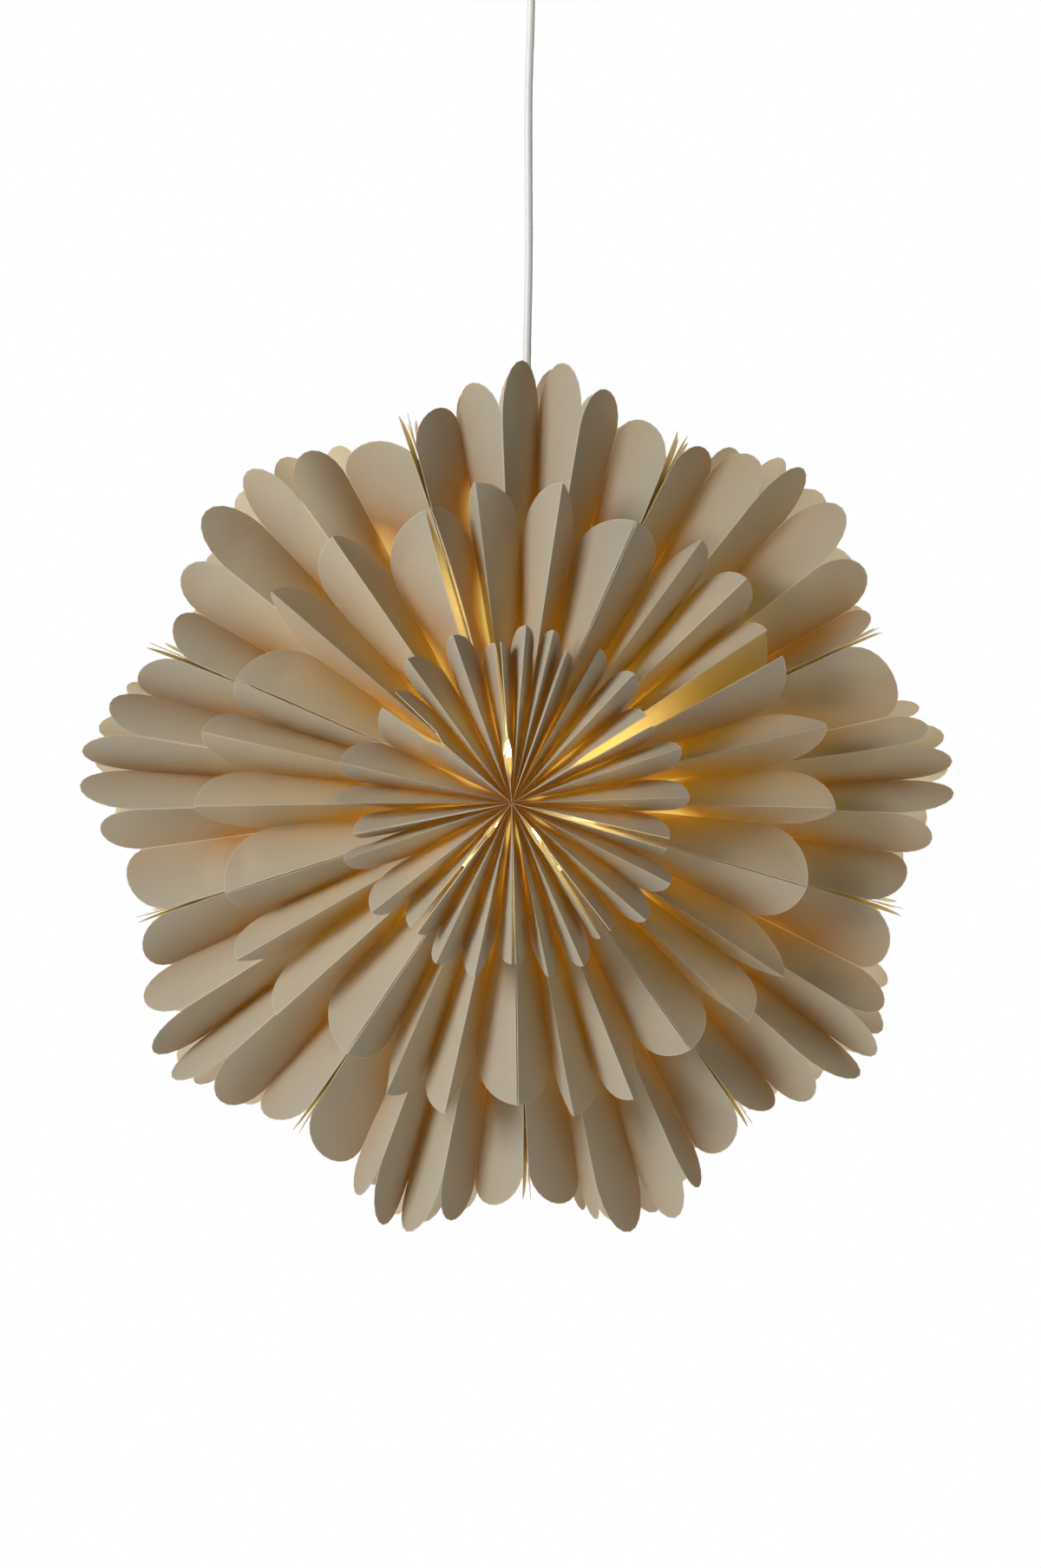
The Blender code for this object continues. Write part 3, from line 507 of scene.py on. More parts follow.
def painted_glow_share(radius: Array, valley: Array) -> Array:
    """The painted glow, over a painted shade, between the folds, fitted to the photograph.

    It is the way down into the valley to the power 1.4, times 0.4 + 0.6 exp(-(r / 100 mm)²), and near the
    axis 0.6 exp(-(r / 24 mm)²) besides.

    Args:
        radius: Distances from the star's axis.
        valley: The way from the ridge, 0, to the valley, 1.

    Returns:
        Shares from 0 to 1.
    """
    painted_valley_shade = valley**1.4 * (0.4 + 0.6 * hump(radius, 0.0, 0.10))
    return np.minimum(painted_valley_shade + 0.6 * hump(radius, 0.0, 0.024), 1.0)


# The paper
# Angles, shares and gaps are read off the photograph. The back's folds and all depths are guessed.

WALL_ANGLES = np.array((106.5, 65.6, 25.0, -16.3, -54.4, -88.6, -123.6, -162.3, -202.6, -253.5))
FRONT_WALL_ANGLES = np.array((95.0, 70.3, 31.0, -14.5, -54.5, -89.4, -127.5, -169.0, -220.0, -265.0))
FOLD_ANGLES = (
    (97.0, 81.4), (54.3, 43.8), (13.6, -1.2), (-33.1, -43.4), (-68.2, -79.3), (-102.6, -113.6),
    (-138.0, -150.2), (-179.0, -192.4), (-220.7, -235.4),
)
FRONT_FOLD_ANGLES = (
    (85.4, 76.3), (60.3, 46.6), (18.0, 1.9), (-26.8, -41.0), (-66.2, -78.0), (-102.2, -115.3),
    (-142.1, -161.4), (-180.0, -193.2), (-234.1, -250.7),
)
OUTER_FOLD_ANGLES = (
    (92.2, 80.4), (51.5, 37.7), (8.0, -2.0), (-32.1, -41.9), (-66.1, -78.4), (-101.1, -110.5),
    (-138.3, -147.8), (-178.4, -189.4), (-218.4, -234.1),
)
INNER_VALLEY_SHARES = tuple((0.60, 0.50, 0.50 if strip in (1, 7) else 0.40) for strip in range(1, 10))
MIDDLE_VALLEY_SHARES = (
    (0.73, 0.51, 0.29), (0.61, 0.43, 0.38), (0.67, 0.42, 0.27), (0.58, 0.33, 0.25), (0.66, 0.50, 0.31),
    (0.75, 0.52, 0.40), (0.75, 0.59, 0.44), (0.67, 0.52, 0.43), (0.70, 0.42, 0.30),
)
OUTER_VALLEY_SHARES = (
    (0.53, 0.44, 0.37), (0.44, 0.39, 0.64), (0.74, 0.53, 0.43), (0.63, 0.54, 0.54), (0.75, 0.51, 0.25),
    (0.63, 0.54, 0.27), (0.50, 0.47, 0.45), (0.62, 0.51, 0.46), (0.47, 0.54, 0.41),
)
OUTER_REACH = (0.995, 0.99, 0.99, 1.0, 1.02, 1.02, 1.015, 1.0, 0.966)
BACK_FOLD_TURNS = (1.6, 3.3, 3.0, 2.6, -2.5, 1.0, 2.0, -3.0, -4.0)
LIT_SEAMS = {  # wall: radius, reach and amount of a glow painted where the photograph's seam is bright
    1: (0.140, 0.035, 1.2), 3: (0.080, 0.035, 1.0), 4: (0.062, 0.015, 0.8),
}
LIT_PATCHES = {  # ring, strip, panel: the same where the photograph's panel is bright
    ("middle", 1, 0): (0.125, 0.040, 1.7), ("middle", 9, 5): (0.115, 0.030, 0.7),
    ("outer", 1, 0): (0.200, 0.030, 0.9), ("outer", 1, 1): (0.200, 0.025, 0.4),
    ("outer", 9, 5): (0.190, 0.028, 0.7), ("outer", 9, 4): (0.190, 0.025, 0.3),
    ("outer", 2, 5): (0.235, 0.030, 0.6), ("middle", 3, 4): (0.105, 0.025, 1.1),
    ("middle", 3, 3): (0.100, 0.020, 0.8), ("middle", 2, 4): (0.115, 0.030, 0.9),
    ("outer", 4, 0): (0.225, 0.025, 0.5), ("middle", 4, 2): (0.110, 0.020, 0.6),
    ("inner", 3, 0): (0.060, 0.020, 0.8), ("inner", 9, 5): (0.070, 0.030, 0.9),
    ("inner", 9, 4): (0.050, 0.025, 0.8), ("inner", 1, 0): (0.055, 0.020, 0.8),
    ("inner", 2, 5): (0.045, 0.020, 0.9), ("inner", 2, 4): (0.040, 0.012, 1.2),
    ("inner", 3, 2): (0.016, 0.007, 1.6), ("inner", 3, 3): (0.016, 0.007, 1.6),
    ("inner", 4, 2): (0.022, 0.009, 1.6), ("inner", 4, 3): (0.022, 0.009, 1.6),
    ("inner", 5, 4): (0.022, 0.008, 1.5), ("inner", 5, 5): (0.022, 0.008, 1.5),
    ("inner", 6, 0): (0.020, 0.008, 1.6), ("inner", 6, 1): (0.020, 0.008, 1.6),
    ("inner", 7, 0): (0.040, 0.015, 0.8), ("inner", 8, 4): (0.030, 0.012, 1.2),
}
FRONT_WALL_TURNS = (0.0, 0.8, 6.3, 0.0, -0.2, -0.8, 0.0, 0.0, -1.0)
NO_TURNS = (0.0,) * SEGMENTS
ROOT_LIGHT = (0.042, 0.026, 0.75)  # place past a ring's root, reach and amount of a painted glow


@dataclass(frozen=True)
class SeamGaps:
    """How far the two sheets of each seam stand apart, as half angles in degrees at the nine walls."""

    inner: tuple[float, ...] = (1.05, 0.2, 1.45, 1.85, 2.2, 0.7, 1.35, 0.2, 3.55)
    inner_start: tuple[float, ...] = (0.006, 0.01, 0.046, 0.01, 0.01, 0.01, 0.01, 0.01, 0.058)
    slot: tuple[float, ...] = (3.4, 0.0, 0.5, 0.0, 1.6, 0.0, 2.6, 0.0, 0.0)
    slot_place: tuple[float, ...] = (0.028, 0.03, 0.085, 0.03, 0.022, 0.03, 0.020, 0.03, 0.03)
    slot_reach: tuple[float, ...] = (0.011, 0.01, 0.035, 0.01, 0.012, 0.01, 0.008, 0.01, 0.01)
    middle_bulge: tuple[float, ...] = (1.4, 0.1, 0.5, 0.1, 0.1, 0.1, 0.1, 0.1, 0.2)
    middle_spread: tuple[float, ...] = (0.2, 0.08, 2.7, 0.08, 0.08, 0.08, 0.08, 0.08, 0.10)
    rim: tuple[float, ...] = (0.50, 0.60, 0.30, 0.40, 0.30, 0.40, 0.35, 0.30, 0.30)
    rim_spring: float = 1.3

    def at_inner(self, wall: int, radius: Array) -> Array:
        """Half angle of the gap in the inner ring, which opens at each wall's own radius and has a slot.

        Args:
            wall: The wall's number from 0.
            radius: Distances from the star's axis.

        Returns:
            Half angles in degrees.
        """
        wall %= SEGMENTS
        start = self.inner_start[wall]
        away = np.abs(radius - self.slot_place[wall]) / self.slot_reach[wall]
        slot = self.slot[wall] * (1 - smooth_step(away, 0.75, 1.25))
        return self.inner[wall] * (0.15 + 0.85 * smooth_step(radius, start, start + 0.012)) + slot

    def at_middle(self, wall: int, radius: Array) -> Array:
        """Half angle of the gap at the middle ring: a bulge that closes at the tip, and a steady spread.

        Args:
            wall: The wall's number from 0.
            radius: Distances from the star's axis.

        Returns:
            Half angles in degrees.
        """
        wall %= SEGMENTS
        bulge = np.sin(np.pi * np.clip((radius - 0.008) / 0.204, 0.0, 1.0)) ** 0.8
        return self.middle_bulge[wall] * bulge + self.middle_spread[wall] * smooth_step(radius, 0.005, 0.06)

    def at_rim(self, wall: int, radius: Array, depth: Array) -> Array:
        """Half angle near the wall's cut rim, where the sheets spring apart towards the faces."""
        outwards = smooth_step(radius, 0.17, 0.285)
        return self.rim[wall % SEGMENTS] * outwards * smooth_step(depth, 0.008, 0.054) * self.rim_spring

    def body(self, wall: int, radius: Array, depth: Array) -> Array:
        """Half angle in the wall's body: the middle ring's gap closes at the outer ring's depth.

        Args:
            wall: The wall's number from 0.
            radius: Distances from the star's axis.
            depth: Distances from the middle plane.

        Returns:
            Half angles in degrees.
        """
        fade = smooth_step(depth, 0.045, 0.095) * (1 - smooth_step(radius, 0.205, 0.24))
        return self.at_middle(wall, radius) * fade + self.at_rim(wall, radius, depth)


@dataclass(frozen=True)
class Ring:
    """One ring of petals: where its folds and valleys stand, how deep they lie and how far they reach."""

    name: str
    ridge: float
    pleat: float
    root: float
    notches: tuple[float, ...]
    tips: tuple[float, ...]
    whole_petals: bool
    walls: Array
    folds: tuple
    valley_shares: tuple
    reach: tuple = (1.0,) * SEGMENTS
    back_turns: tuple = NO_TURNS
    wall_turns: tuple = NO_TURNS
    bow: float = 0.004
    curl: float = 0.0
    slack_share: float = 0.95

    def lines(self, segment: int, face: Face) -> Array:
        """Angles of a strip's seven lines: seam, valley, fold, valley, fold, valley, seam.

        Args:
            segment: The segment's number from 0.
            face: Front or back.

        Returns:
            Seven angles in degrees.
        """
        turn = self.back_turns[segment] if face is Face.BACK else 0.0
        lean = self.wall_turns if face is Face.FRONT else NO_TURNS
        first = self.walls[segment] + lean[segment]
        last = self.walls[segment + 1] + lean[(segment + 1) % SEGMENTS]
        ridges = np.array((first, *(fold + turn for fold in self.folds[segment]), last))
        shares = np.array(self.valley_shares[segment])
        lines = np.empty(7)
        lines[0::2] = ridges
        lines[1::2] = ridges[:-1] + (ridges[1:] - ridges[:-1]) * shares
        return lines


@dataclass(frozen=True)
class PleatStrip:
    """One strip of six panels between two seams: ridge, valley, ridge and so on, each cut to a petal."""

    ring: Ring
    segment: int
    face: Face
    gaps: SeamGaps
    columns: int = 12
    rows: int = 26
    crowding: float = 0.18  # how much closer the rows stand at root and rim
    widest_share: float = 0.97  # of the pleat's width, the most that a panel reaches across
    bow_room: float = 0.34  # of the gap, the most that a panel bows

    def seam_gap(self, wall: int, radius: Array) -> Array:
        """Half angle between the seam's two sheets at the ring's ridge."""
        if self.ring.name == "inner":
            return self.gaps.at_inner(wall, radius)
        if self.ring.name == "middle":
            return self.gaps.at_middle(wall, radius)
        return self.gaps.body(wall, radius, np.full_like(radius, self.ring.ridge))

    def ridge_angle(self, line: int, angle: float, radius: Array) -> Array:
        """Angle along a ridge; a seam's ridge keeps half the seam's gap from the wall's middle.

        Args:
            line: The line's number, 0 to 6.
            angle: The line's angle in degrees.
            radius: Distances from the star's axis.

        Returns:
            Angles in degrees.
        """
        if line == 0:
            return angle - self.seam_gap(self.segment, radius)
        if line == 6:
            return angle + self.seam_gap(self.segment + 1, radius)
        return np.full_like(radius, angle)

    def rim(self, index: int, ridge: int, valley: int) -> tuple[Array, Array]:
        """Works out a panel's cut rim.

        It is half an ellipse from notch to notch on the outer ring, and a quarter ellipse from the fold's tip
        to the valley's notch on the others.

        Args:
            index: The panel's number, 0 to 5.
            ridge: The number of its ridge's line.
            valley: The number of its valley's line.

        Returns:
            The way from ridge to valley at each column, 0 to 1, and the rim's radius there.
        """
        ring = self.ring
        t = np.linspace(0.0, 1.0, self.columns + 1)
        if ring.whole_petals:
            share = (1 - np.cos(np.pi * t)) / 2
            start, end = ring.notches[ridge], ring.notches[valley]
            rim = start + (end - start) * share + (ring.tips[index] - (start + end) / 2) * np.sin(np.pi * t)
        else:
            share = np.sin(np.pi / 2 * t)
            start, end = ring.tips[ridge // 2], ring.notches[valley]
            rim = end + (start - end) * np.cos(np.pi / 2 * t)
        return share, rim * ring.reach[self.segment]

    def light(self, index: int, radius: Array, share: Array) -> Array:
        """The painted glow, over a painted shade, on a panel: in its valley, past its root and on its own
        bright patch.

        Args:
            index: The panel's number, 0 to 5.
            radius: Distances from the star's axis.
            share: The way from the ridge, 0, to the valley, 1.

        Returns:
            Shares of painted glow and painted shade.
        """
        place, reach, amount = ROOT_LIGHT
        ember = painted_glow_share(radius, share) + amount * share**1.6 * hump(radius - self.ring.root, place, reach)
        patch = (self.ring.name, self.segment + 1, index)
        if self.face is Face.FRONT and patch in LIT_PATCHES:
            place, reach, amount = LIT_PATCHES[patch]
            ember = ember + amount * hump(radius, place, reach) * (0.35 + 0.65 * share)
        return ember

    def panel(self, index: int, draws: np.random.Generator) -> tuple[Array, Array, Array, Array]:
        """Works out one panel as a grid from its ridge to its valley and from its root to its cut rim.

        The valley lies under the ridge by the root of the pleat's width squared less the wider gap squared, a
        little higher than a taut sheet's. Where a panel is wider than the straight way across, it bows by the
        sagitta of that arc, held within a third of the gap, outward where it is the wider of its pair and
        inward where it is the narrower. A free petal curls by the square of its distance past the notch.

        Args:
            index: The panel's number, 0 to 5.
            draws: Numbers for bow and curl.

        Returns:
            Places, distances from the fold, distances from the rim and shares of painted glow and painted
            shade.
        """
        ring = self.ring
        lines = ring.lines(self.segment, self.face)
        ridge, valley = (index, index + 1) if index % 2 == 0 else (index + 1, index)
        way, rim = self.rim(index, ridge, valley)
        v = np.linspace(0.0, 1.0, self.rows + 1)
        v = v - self.crowding * np.sin(2 * np.pi * v) / (2 * np.pi)
        radius = ring.root + (rim[None, :] - ring.root) * v[:, None]
        share = np.broadcast_to(way, radius.shape)
        side = -1.0 if index % 2 == 0 else 1.0
        ridge_angle = self.ridge_angle(ridge, lines[ridge], radius)
        valley_angle = lines[valley]
        beside = [self.ridge_angle(line, lines[line], radius) for line in (valley - 1, valley + 1)]
        widest = self.widest_share * ring.pleat
        across = radius * np.radians(np.max(np.abs(np.array(beside) - valley_angle), axis=0))
        across = across / (1 + (across / widest) ** 8) ** (1 / 8)
        drop = np.sqrt(ring.pleat**2 - across**2) * ring.slack_share
        own = radius * np.radians(np.abs(ridge_angle - valley_angle))
        chord = np.sqrt(own**2 + drop**2)
        slack = np.maximum(ring.pleat - chord, 0.0)
        sagitta = ring.bow * np.tanh(np.sqrt(0.375 * chord * slack) / ring.bow)
        narrow = float(np.mean(own[-1])) < 0.75 * float(np.mean(across[-1]))
        sagitta = sagitta * draws.uniform(*((-0.75, -0.25) if narrow else (0.6, 1.0)))
        near = star_point(ridge_angle, radius, ring.ridge, self.face)
        far = star_point(np.full_like(radius, valley_angle), radius, ring.ridge - drop, self.face)
        middle = np.radians(ridge_angle + (valley_angle - ridge_angle) * share)
        tangent = np.stack((-np.sin(middle), np.zeros_like(middle), np.cos(middle)), -1)
        outward = np.array((0.0, float(self.face), 0.0))
        normal = (tangent * (side * drop)[..., None] + outward * own[..., None]) / chord[..., None]
        notch = min(ring.notches[ridge], ring.notches[valley]) * ring.reach[self.segment]
        free = np.clip((radius - notch) / max(ring.tips) * 6, 0.0, 1.5)
        curl = ring.curl * draws.uniform(-1.0, 1.0) * free**2 * (1.0 if ring.whole_petals else share)
        room = self.bow_room * own + 1e-6
        bow = room * np.tanh(sagitta / room) * np.sin(np.pi * share)
        points = near + (far - near) * share[..., None] + normal * (bow + curl)[..., None]
        fold = np.minimum(share, 1 - share) * chord
        return points, fold, rim[None, :] - radius, self.light(index, radius, share)

    def build(self, material: Material) -> Object:
        """Joins the six panels into one folded sheet and closes it.

        Args:
            material: The paper.

        Returns:
            The strip's object.
        """
        number = (self.segment + 1) * 100 + len(self.ring.name) * 7 + (self.face > 0) * 3
        draws = np.random.default_rng(number)
        panels = []
        for index in range(6):
            parts = self.panel(index, draws)
            parts = [part[:, ::-1] for part in parts] if index % 2 else parts
            panels.append([part[:, 1:] for part in parts] if index else parts)
        joined = [np.concatenate(parts, axis=1) for parts in zip(*panels)]
        grid, fold, rim, ember = (part[:, ::-1] for part in joined) if self.face is Face.FRONT else joined
        radius = np.linalg.norm((grid - STAR_CENTRE)[..., (0, 2)], axis=2)
        thickness = SHEET * np.clip(radius / 0.03, 0.08, 1.0)
        stack = SheetStack(f"{self.face.name.lower()}_{self.ring.name}_petals_{self.segment + 1}")
        stack.add_sheet(grid, thickness, fold, rim, ember)
        return stack.finish(material, 20.0)


@dataclass(frozen=True)
class WallStep:
    """One step of a seam wall's outer edge: a quarter ellipse from its start to the tip at the ridge."""

    ridge: float
    drop: float
    start: float
    reach: float

    def depths(self) -> Array:
        """Depths along the curve, from its start to the ridge."""
        return self.ridge - self.drop * np.sin(np.linspace(0.0, np.pi / 2, 15)[::-1])

    def edge(self, depths: Array) -> Array:
        """Radius of the edge at each depth."""
        rise = np.clip((self.ridge - depths) / self.drop, 0.0, 1.0)
        return self.start + self.reach * np.sqrt(np.maximum(1 - rise**2, 0.0))


@dataclass(frozen=True)
class WallPatch:
    """One patch of a seam wall: radii of its edges and the wall's angle at each depth, and steps in between.

    An open patch's sheets stand apart as the inner ring's gap does, and the others' as the wall's body does.
    """

    depths: Array
    inner: Array
    outer: Array
    angles: Array
    rows: int
    open: bool = False


@dataclass(frozen=True)
class SeamWall:
    """The two sheets glued at one seam: stepped sheets on edge, from the lamp's hollow to the rim."""

    wall: int
    gaps: SeamGaps
    hollow_radius: float = 0.066
    hollow_depth: float = 0.092
    hub: float = 0.0004
    slit_end: float = 0.030
    slit_low: float = 0.0925
    slit_high: float = 0.104
    offset: float = 0.0002  # of each sheet from the wall's middle
    full_glow_gap: float = 0.0012  # between the sheets, where the painted glow is full
    outer_step: WallStep = WallStep(0.054, 0.0349, 0.242, 0.030)
    middle_step: WallStep = WallStep(0.101, 0.044, 0.1645, 0.0395)
    inner_step: WallStep = WallStep(0.150, 0.046, 0.071, 0.0355)

    def hollow(self, depth: Array) -> Array:
        """Inner edge at a depth: an ellipse round the lamp, and the hub past it."""
        inside = 1 - (depth / self.hollow_depth) ** 2
        return np.maximum(self.hollow_radius * np.sqrt(np.maximum(inside, 0.0)), self.hub)

    def patches(self, face: Face) -> list[WallPatch]:
        """The patches of a face: a step for each ring, and a slit between the middle step and the inner one.

        Args:
            face: Front or back.

        Returns:
            Four patches.
        """
        main, lean = WALL_ANGLES[self.wall], FRONT_WALL_ANGLES[self.wall]
        turn = FRONT_WALL_TURNS[self.wall] if face is Face.FRONT else 0.0
        outer, middle, inner = self.outer_step, self.middle_step, self.inner_step
        low = np.concatenate(((outer.ridge - outer.drop) * np.linspace(0, 1, 6), outer.depths()[1:]))
        mid = np.concatenate((np.linspace(outer.ridge, middle.ridge - middle.drop, 3)[:-1], middle.depths()))
        high = inner.depths()
        slit = np.linspace(self.slit_low, self.slit_high, 8)
        mid_angles = main + turn * smooth_step(mid, outer.ridge, 0.094)
        slit_angles = main + turn + (lean - main - turn) * smooth_step(slit, self.slit_low, self.slit_high)
        high_hub, slit_hub = np.full_like(high, self.hub), np.full_like(slit, self.hub)
        slit_edge = np.full_like(slit, self.slit_end)
        return [
            WallPatch(low, self.hollow(low), outer.edge(low), np.full_like(low, main), 26),
            WallPatch(mid, self.hollow(mid), middle.edge(mid), mid_angles, 22),
            WallPatch(high, high_hub, inner.edge(high), np.full_like(high, lean), 14, open=True),
            WallPatch(slit, slit_hub, slit_edge, slit_angles, 8, open=True),
        ]

    def add_patch(self, stack: SheetStack, patch: WallPatch, face: Face, side: int) -> None:
        """Adds one patch of one sheet, as a grid from its inner to its outer edge at each depth.

        Args:
            stack: Where it goes.
            patch: The patch.
            face: Front or back.
            side: Which of the two sheets, 1 or -1.
        """
        u = np.linspace(0.0, 1.0, patch.rows + 1)
        radius = patch.inner[:, None] + (patch.outer - patch.inner)[:, None] * u[None, :]
        depth = np.broadcast_to(patch.depths[:, None], radius.shape)
        if patch.open:
            opening = self.gaps.at_inner(self.wall, radius)
        else:
            opening = self.gaps.body(self.wall, radius, depth)
        aside = side * self.offset * np.clip(radius / 0.03, 0.1, 1.0)
        grid = star_point(patch.angles[:, None] + side * opening, radius, depth, face, aside)
        # painted glow, with painted shade, between the sheets: more near the axis, where they stand apart,
        # near the cut rim and at LIT_SEAMS
        wide = np.clip(radius * np.radians(opening) / self.full_glow_gap, 0.12, 1.0)
        ember = (0.05 + 0.95 * hump(radius, 0.0, 0.085)) * wide + 0.30 * smooth_step(radius, 0.235, 0.262)
        place, reach, amount = LIT_SEAMS.get(self.wall + 1, (0.1, 1.0, 0.0))
        ember = ember + amount * wide * hump(radius, place, reach)
        rim = patch.outer[:, None] - radius
        if face is Face.BACK:
            grid, rim, ember = grid[::-1], rim[::-1], ember[::-1]
        stack.add_sheet(grid, SHEET, None, rim, ember)

    def build(self, material: Material) -> Object:
        """Builds both sheets from the patches of each face.

        Args:
            material: The paper.

        Returns:
            The wall's object.
        """
        stack = SheetStack(f"seam_wall_{self.wall + 1}")
        for side in (-1, 1):
            for face in Face:
                for patch in self.patches(face):
                    self.add_patch(stack, patch, face, side)
        return stack.finish(material, 30.0)


@dataclass(frozen=True)
class PaperStar:
    """The whole paper star: nine seam walls and six strips of petals in each segment."""

    gaps: SeamGaps = SeamGaps()
    outer: Ring = Ring(
        name="outer",
        ridge=0.054,
        pleat=0.046,
        root=0.1485,
        notches=(0.246, 0.255, 0.255, 0.255, 0.255, 0.255, 0.246),
        tips=(0.27299, 0.286495, 0.300, 0.300, 0.286495, 0.27299),
        whole_petals=True,
        walls=WALL_ANGLES,
        folds=OUTER_FOLD_ANGLES,
        valley_shares=OUTER_VALLEY_SHARES,
        reach=OUTER_REACH,
        back_turns=BACK_FOLD_TURNS,
        bow=0.005,
        curl=0.0035,
    )
    middle: Ring = Ring(
        name="middle",
        ridge=0.101,
        pleat=0.044,
        root=0.0560,
        notches=(0.158,) * 7,
        tips=(0.204, 0.215, 0.215, 0.204),
        whole_petals=False,
        walls=WALL_ANGLES,
        folds=FOLD_ANGLES,
        wall_turns=FRONT_WALL_TURNS,
        valley_shares=MIDDLE_VALLEY_SHARES,
        bow=0.005,
        curl=0.003,
    )
    inner: Ring = Ring(
        name="inner",
        ridge=0.150,
        pleat=0.046,
        root=0.0003,
        notches=(0.0665,) * 7,
        tips=(0.1065, 0.1175, 0.1175, 0.1065),
        whole_petals=False,
        walls=FRONT_WALL_ANGLES,
        folds=FRONT_FOLD_ANGLES,
        valley_shares=INNER_VALLEY_SHARES,
        bow=0.003,
        curl=0.002,
    )

    def build(self, material: Material, wall_material: Material, rim_material: Material) -> None:
        """Builds walls and strips, each on the pendant and in place of its CAD solid.

        Args:
            material: The paper of the strips.
            wall_material: The same paper inside the seams, with a paler and stronger painted glow.
            rim_material: The same paper in the back's outer strips, with more light through it.
        """
        for segment in range(SEGMENTS):
            wall_node = f"wall_and_back_pleats_{segment + 1}"
            settle(SeamWall(segment, self.gaps).build(wall_material), "pendant", Slot.PAPER, wall_node)
            for ring in (self.inner, self.middle, self.outer):
                for face in Face:
                    paper = rim_material if face is Face.BACK and ring is self.outer else material
                    strip = PleatStrip(ring, segment, face, self.gaps).build(paper)
                    own_node = f"{face.name.lower()}_{ring.name}_pleats_{segment + 1}"
                    in_wall = face is Face.BACK and ring is not self.outer
                    settle(strip, "pendant", Slot.PAPER, wall_node if in_wall else own_node)


def settle(piece: Object, body: str, slot: Slot, *nodes: str) -> None:
    """Lets a piece ride on its body and puts it in place of CAD nodes.

    Args:
        piece: The piece.
        body: The body that it rides on.
        slot: The record's material slot; not used.
        *nodes: CAD nodes that the piece stands for.
    """
    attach(piece, body)
    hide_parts(*nodes)
    faces = len(piece.data.polygons) if piece.type == "MESH" else 0
    LOG.info("%s rides on %s, %d faces", piece.name, body, faces)


# The lamp


def arc(centre: tuple[float, float], radius: float, start: float, end: float, steps: int) -> Array:
    """Points of radius and height on an arc, angles in degrees from the outward direction."""
    turn = np.radians(np.linspace(start, end, steps + 1))
    return np.stack((centre[0] + radius * np.cos(turn), centre[1] + radius * np.sin(turn)), -1)


def outline(*parts: Array | tuple[float, float]) -> Array:
    """Joins single points and runs of points into one outline of radius and height."""
    return np.concatenate([np.atleast_2d(np.asarray(part, dtype=float)) for part in parts])


def rounded(points: Array, radius: float, steps: int = 3, closed: bool = True) -> Array:
    """Rounds an outline's corners: each becomes a curve b(1-t)² + 2ct(1-t) + at² between its sides.

    Args:
        points: Points of radius and height.
        radius: How far from a corner its curve begins, at most 0.4 of the shorter side.
        steps: Steps along each curve.
        closed: Whether the outline closes on itself.

    Returns:
        The rounded outline.
    """
    before, after = np.roll(points, 1, axis=0), np.roll(points, -1, axis=0)
    to_before, to_after = before - points, after - points
    length_before = np.linalg.norm(to_before, axis=1, keepdims=True)
    length_after = np.linalg.norm(to_after, axis=1, keepdims=True)
    reach = np.minimum(np.minimum(length_before, length_after) * 0.4, radius)
    start = points + to_before / np.maximum(length_before, 1e-9) * reach
    end = points + to_after / np.maximum(length_after, 1e-9) * reach
    t = np.linspace(0.0, 1.0, steps + 1)[None, :, None]
    curve = start[:, None] * (1 - t) ** 2 + 2 * points[:, None] * t * (1 - t) + end[:, None] * t**2
    if not closed:
        return np.concatenate((points[:1], curve[1:-1].reshape(-1, 2), points[-1:]))
    return curve.reshape(-1, 2)


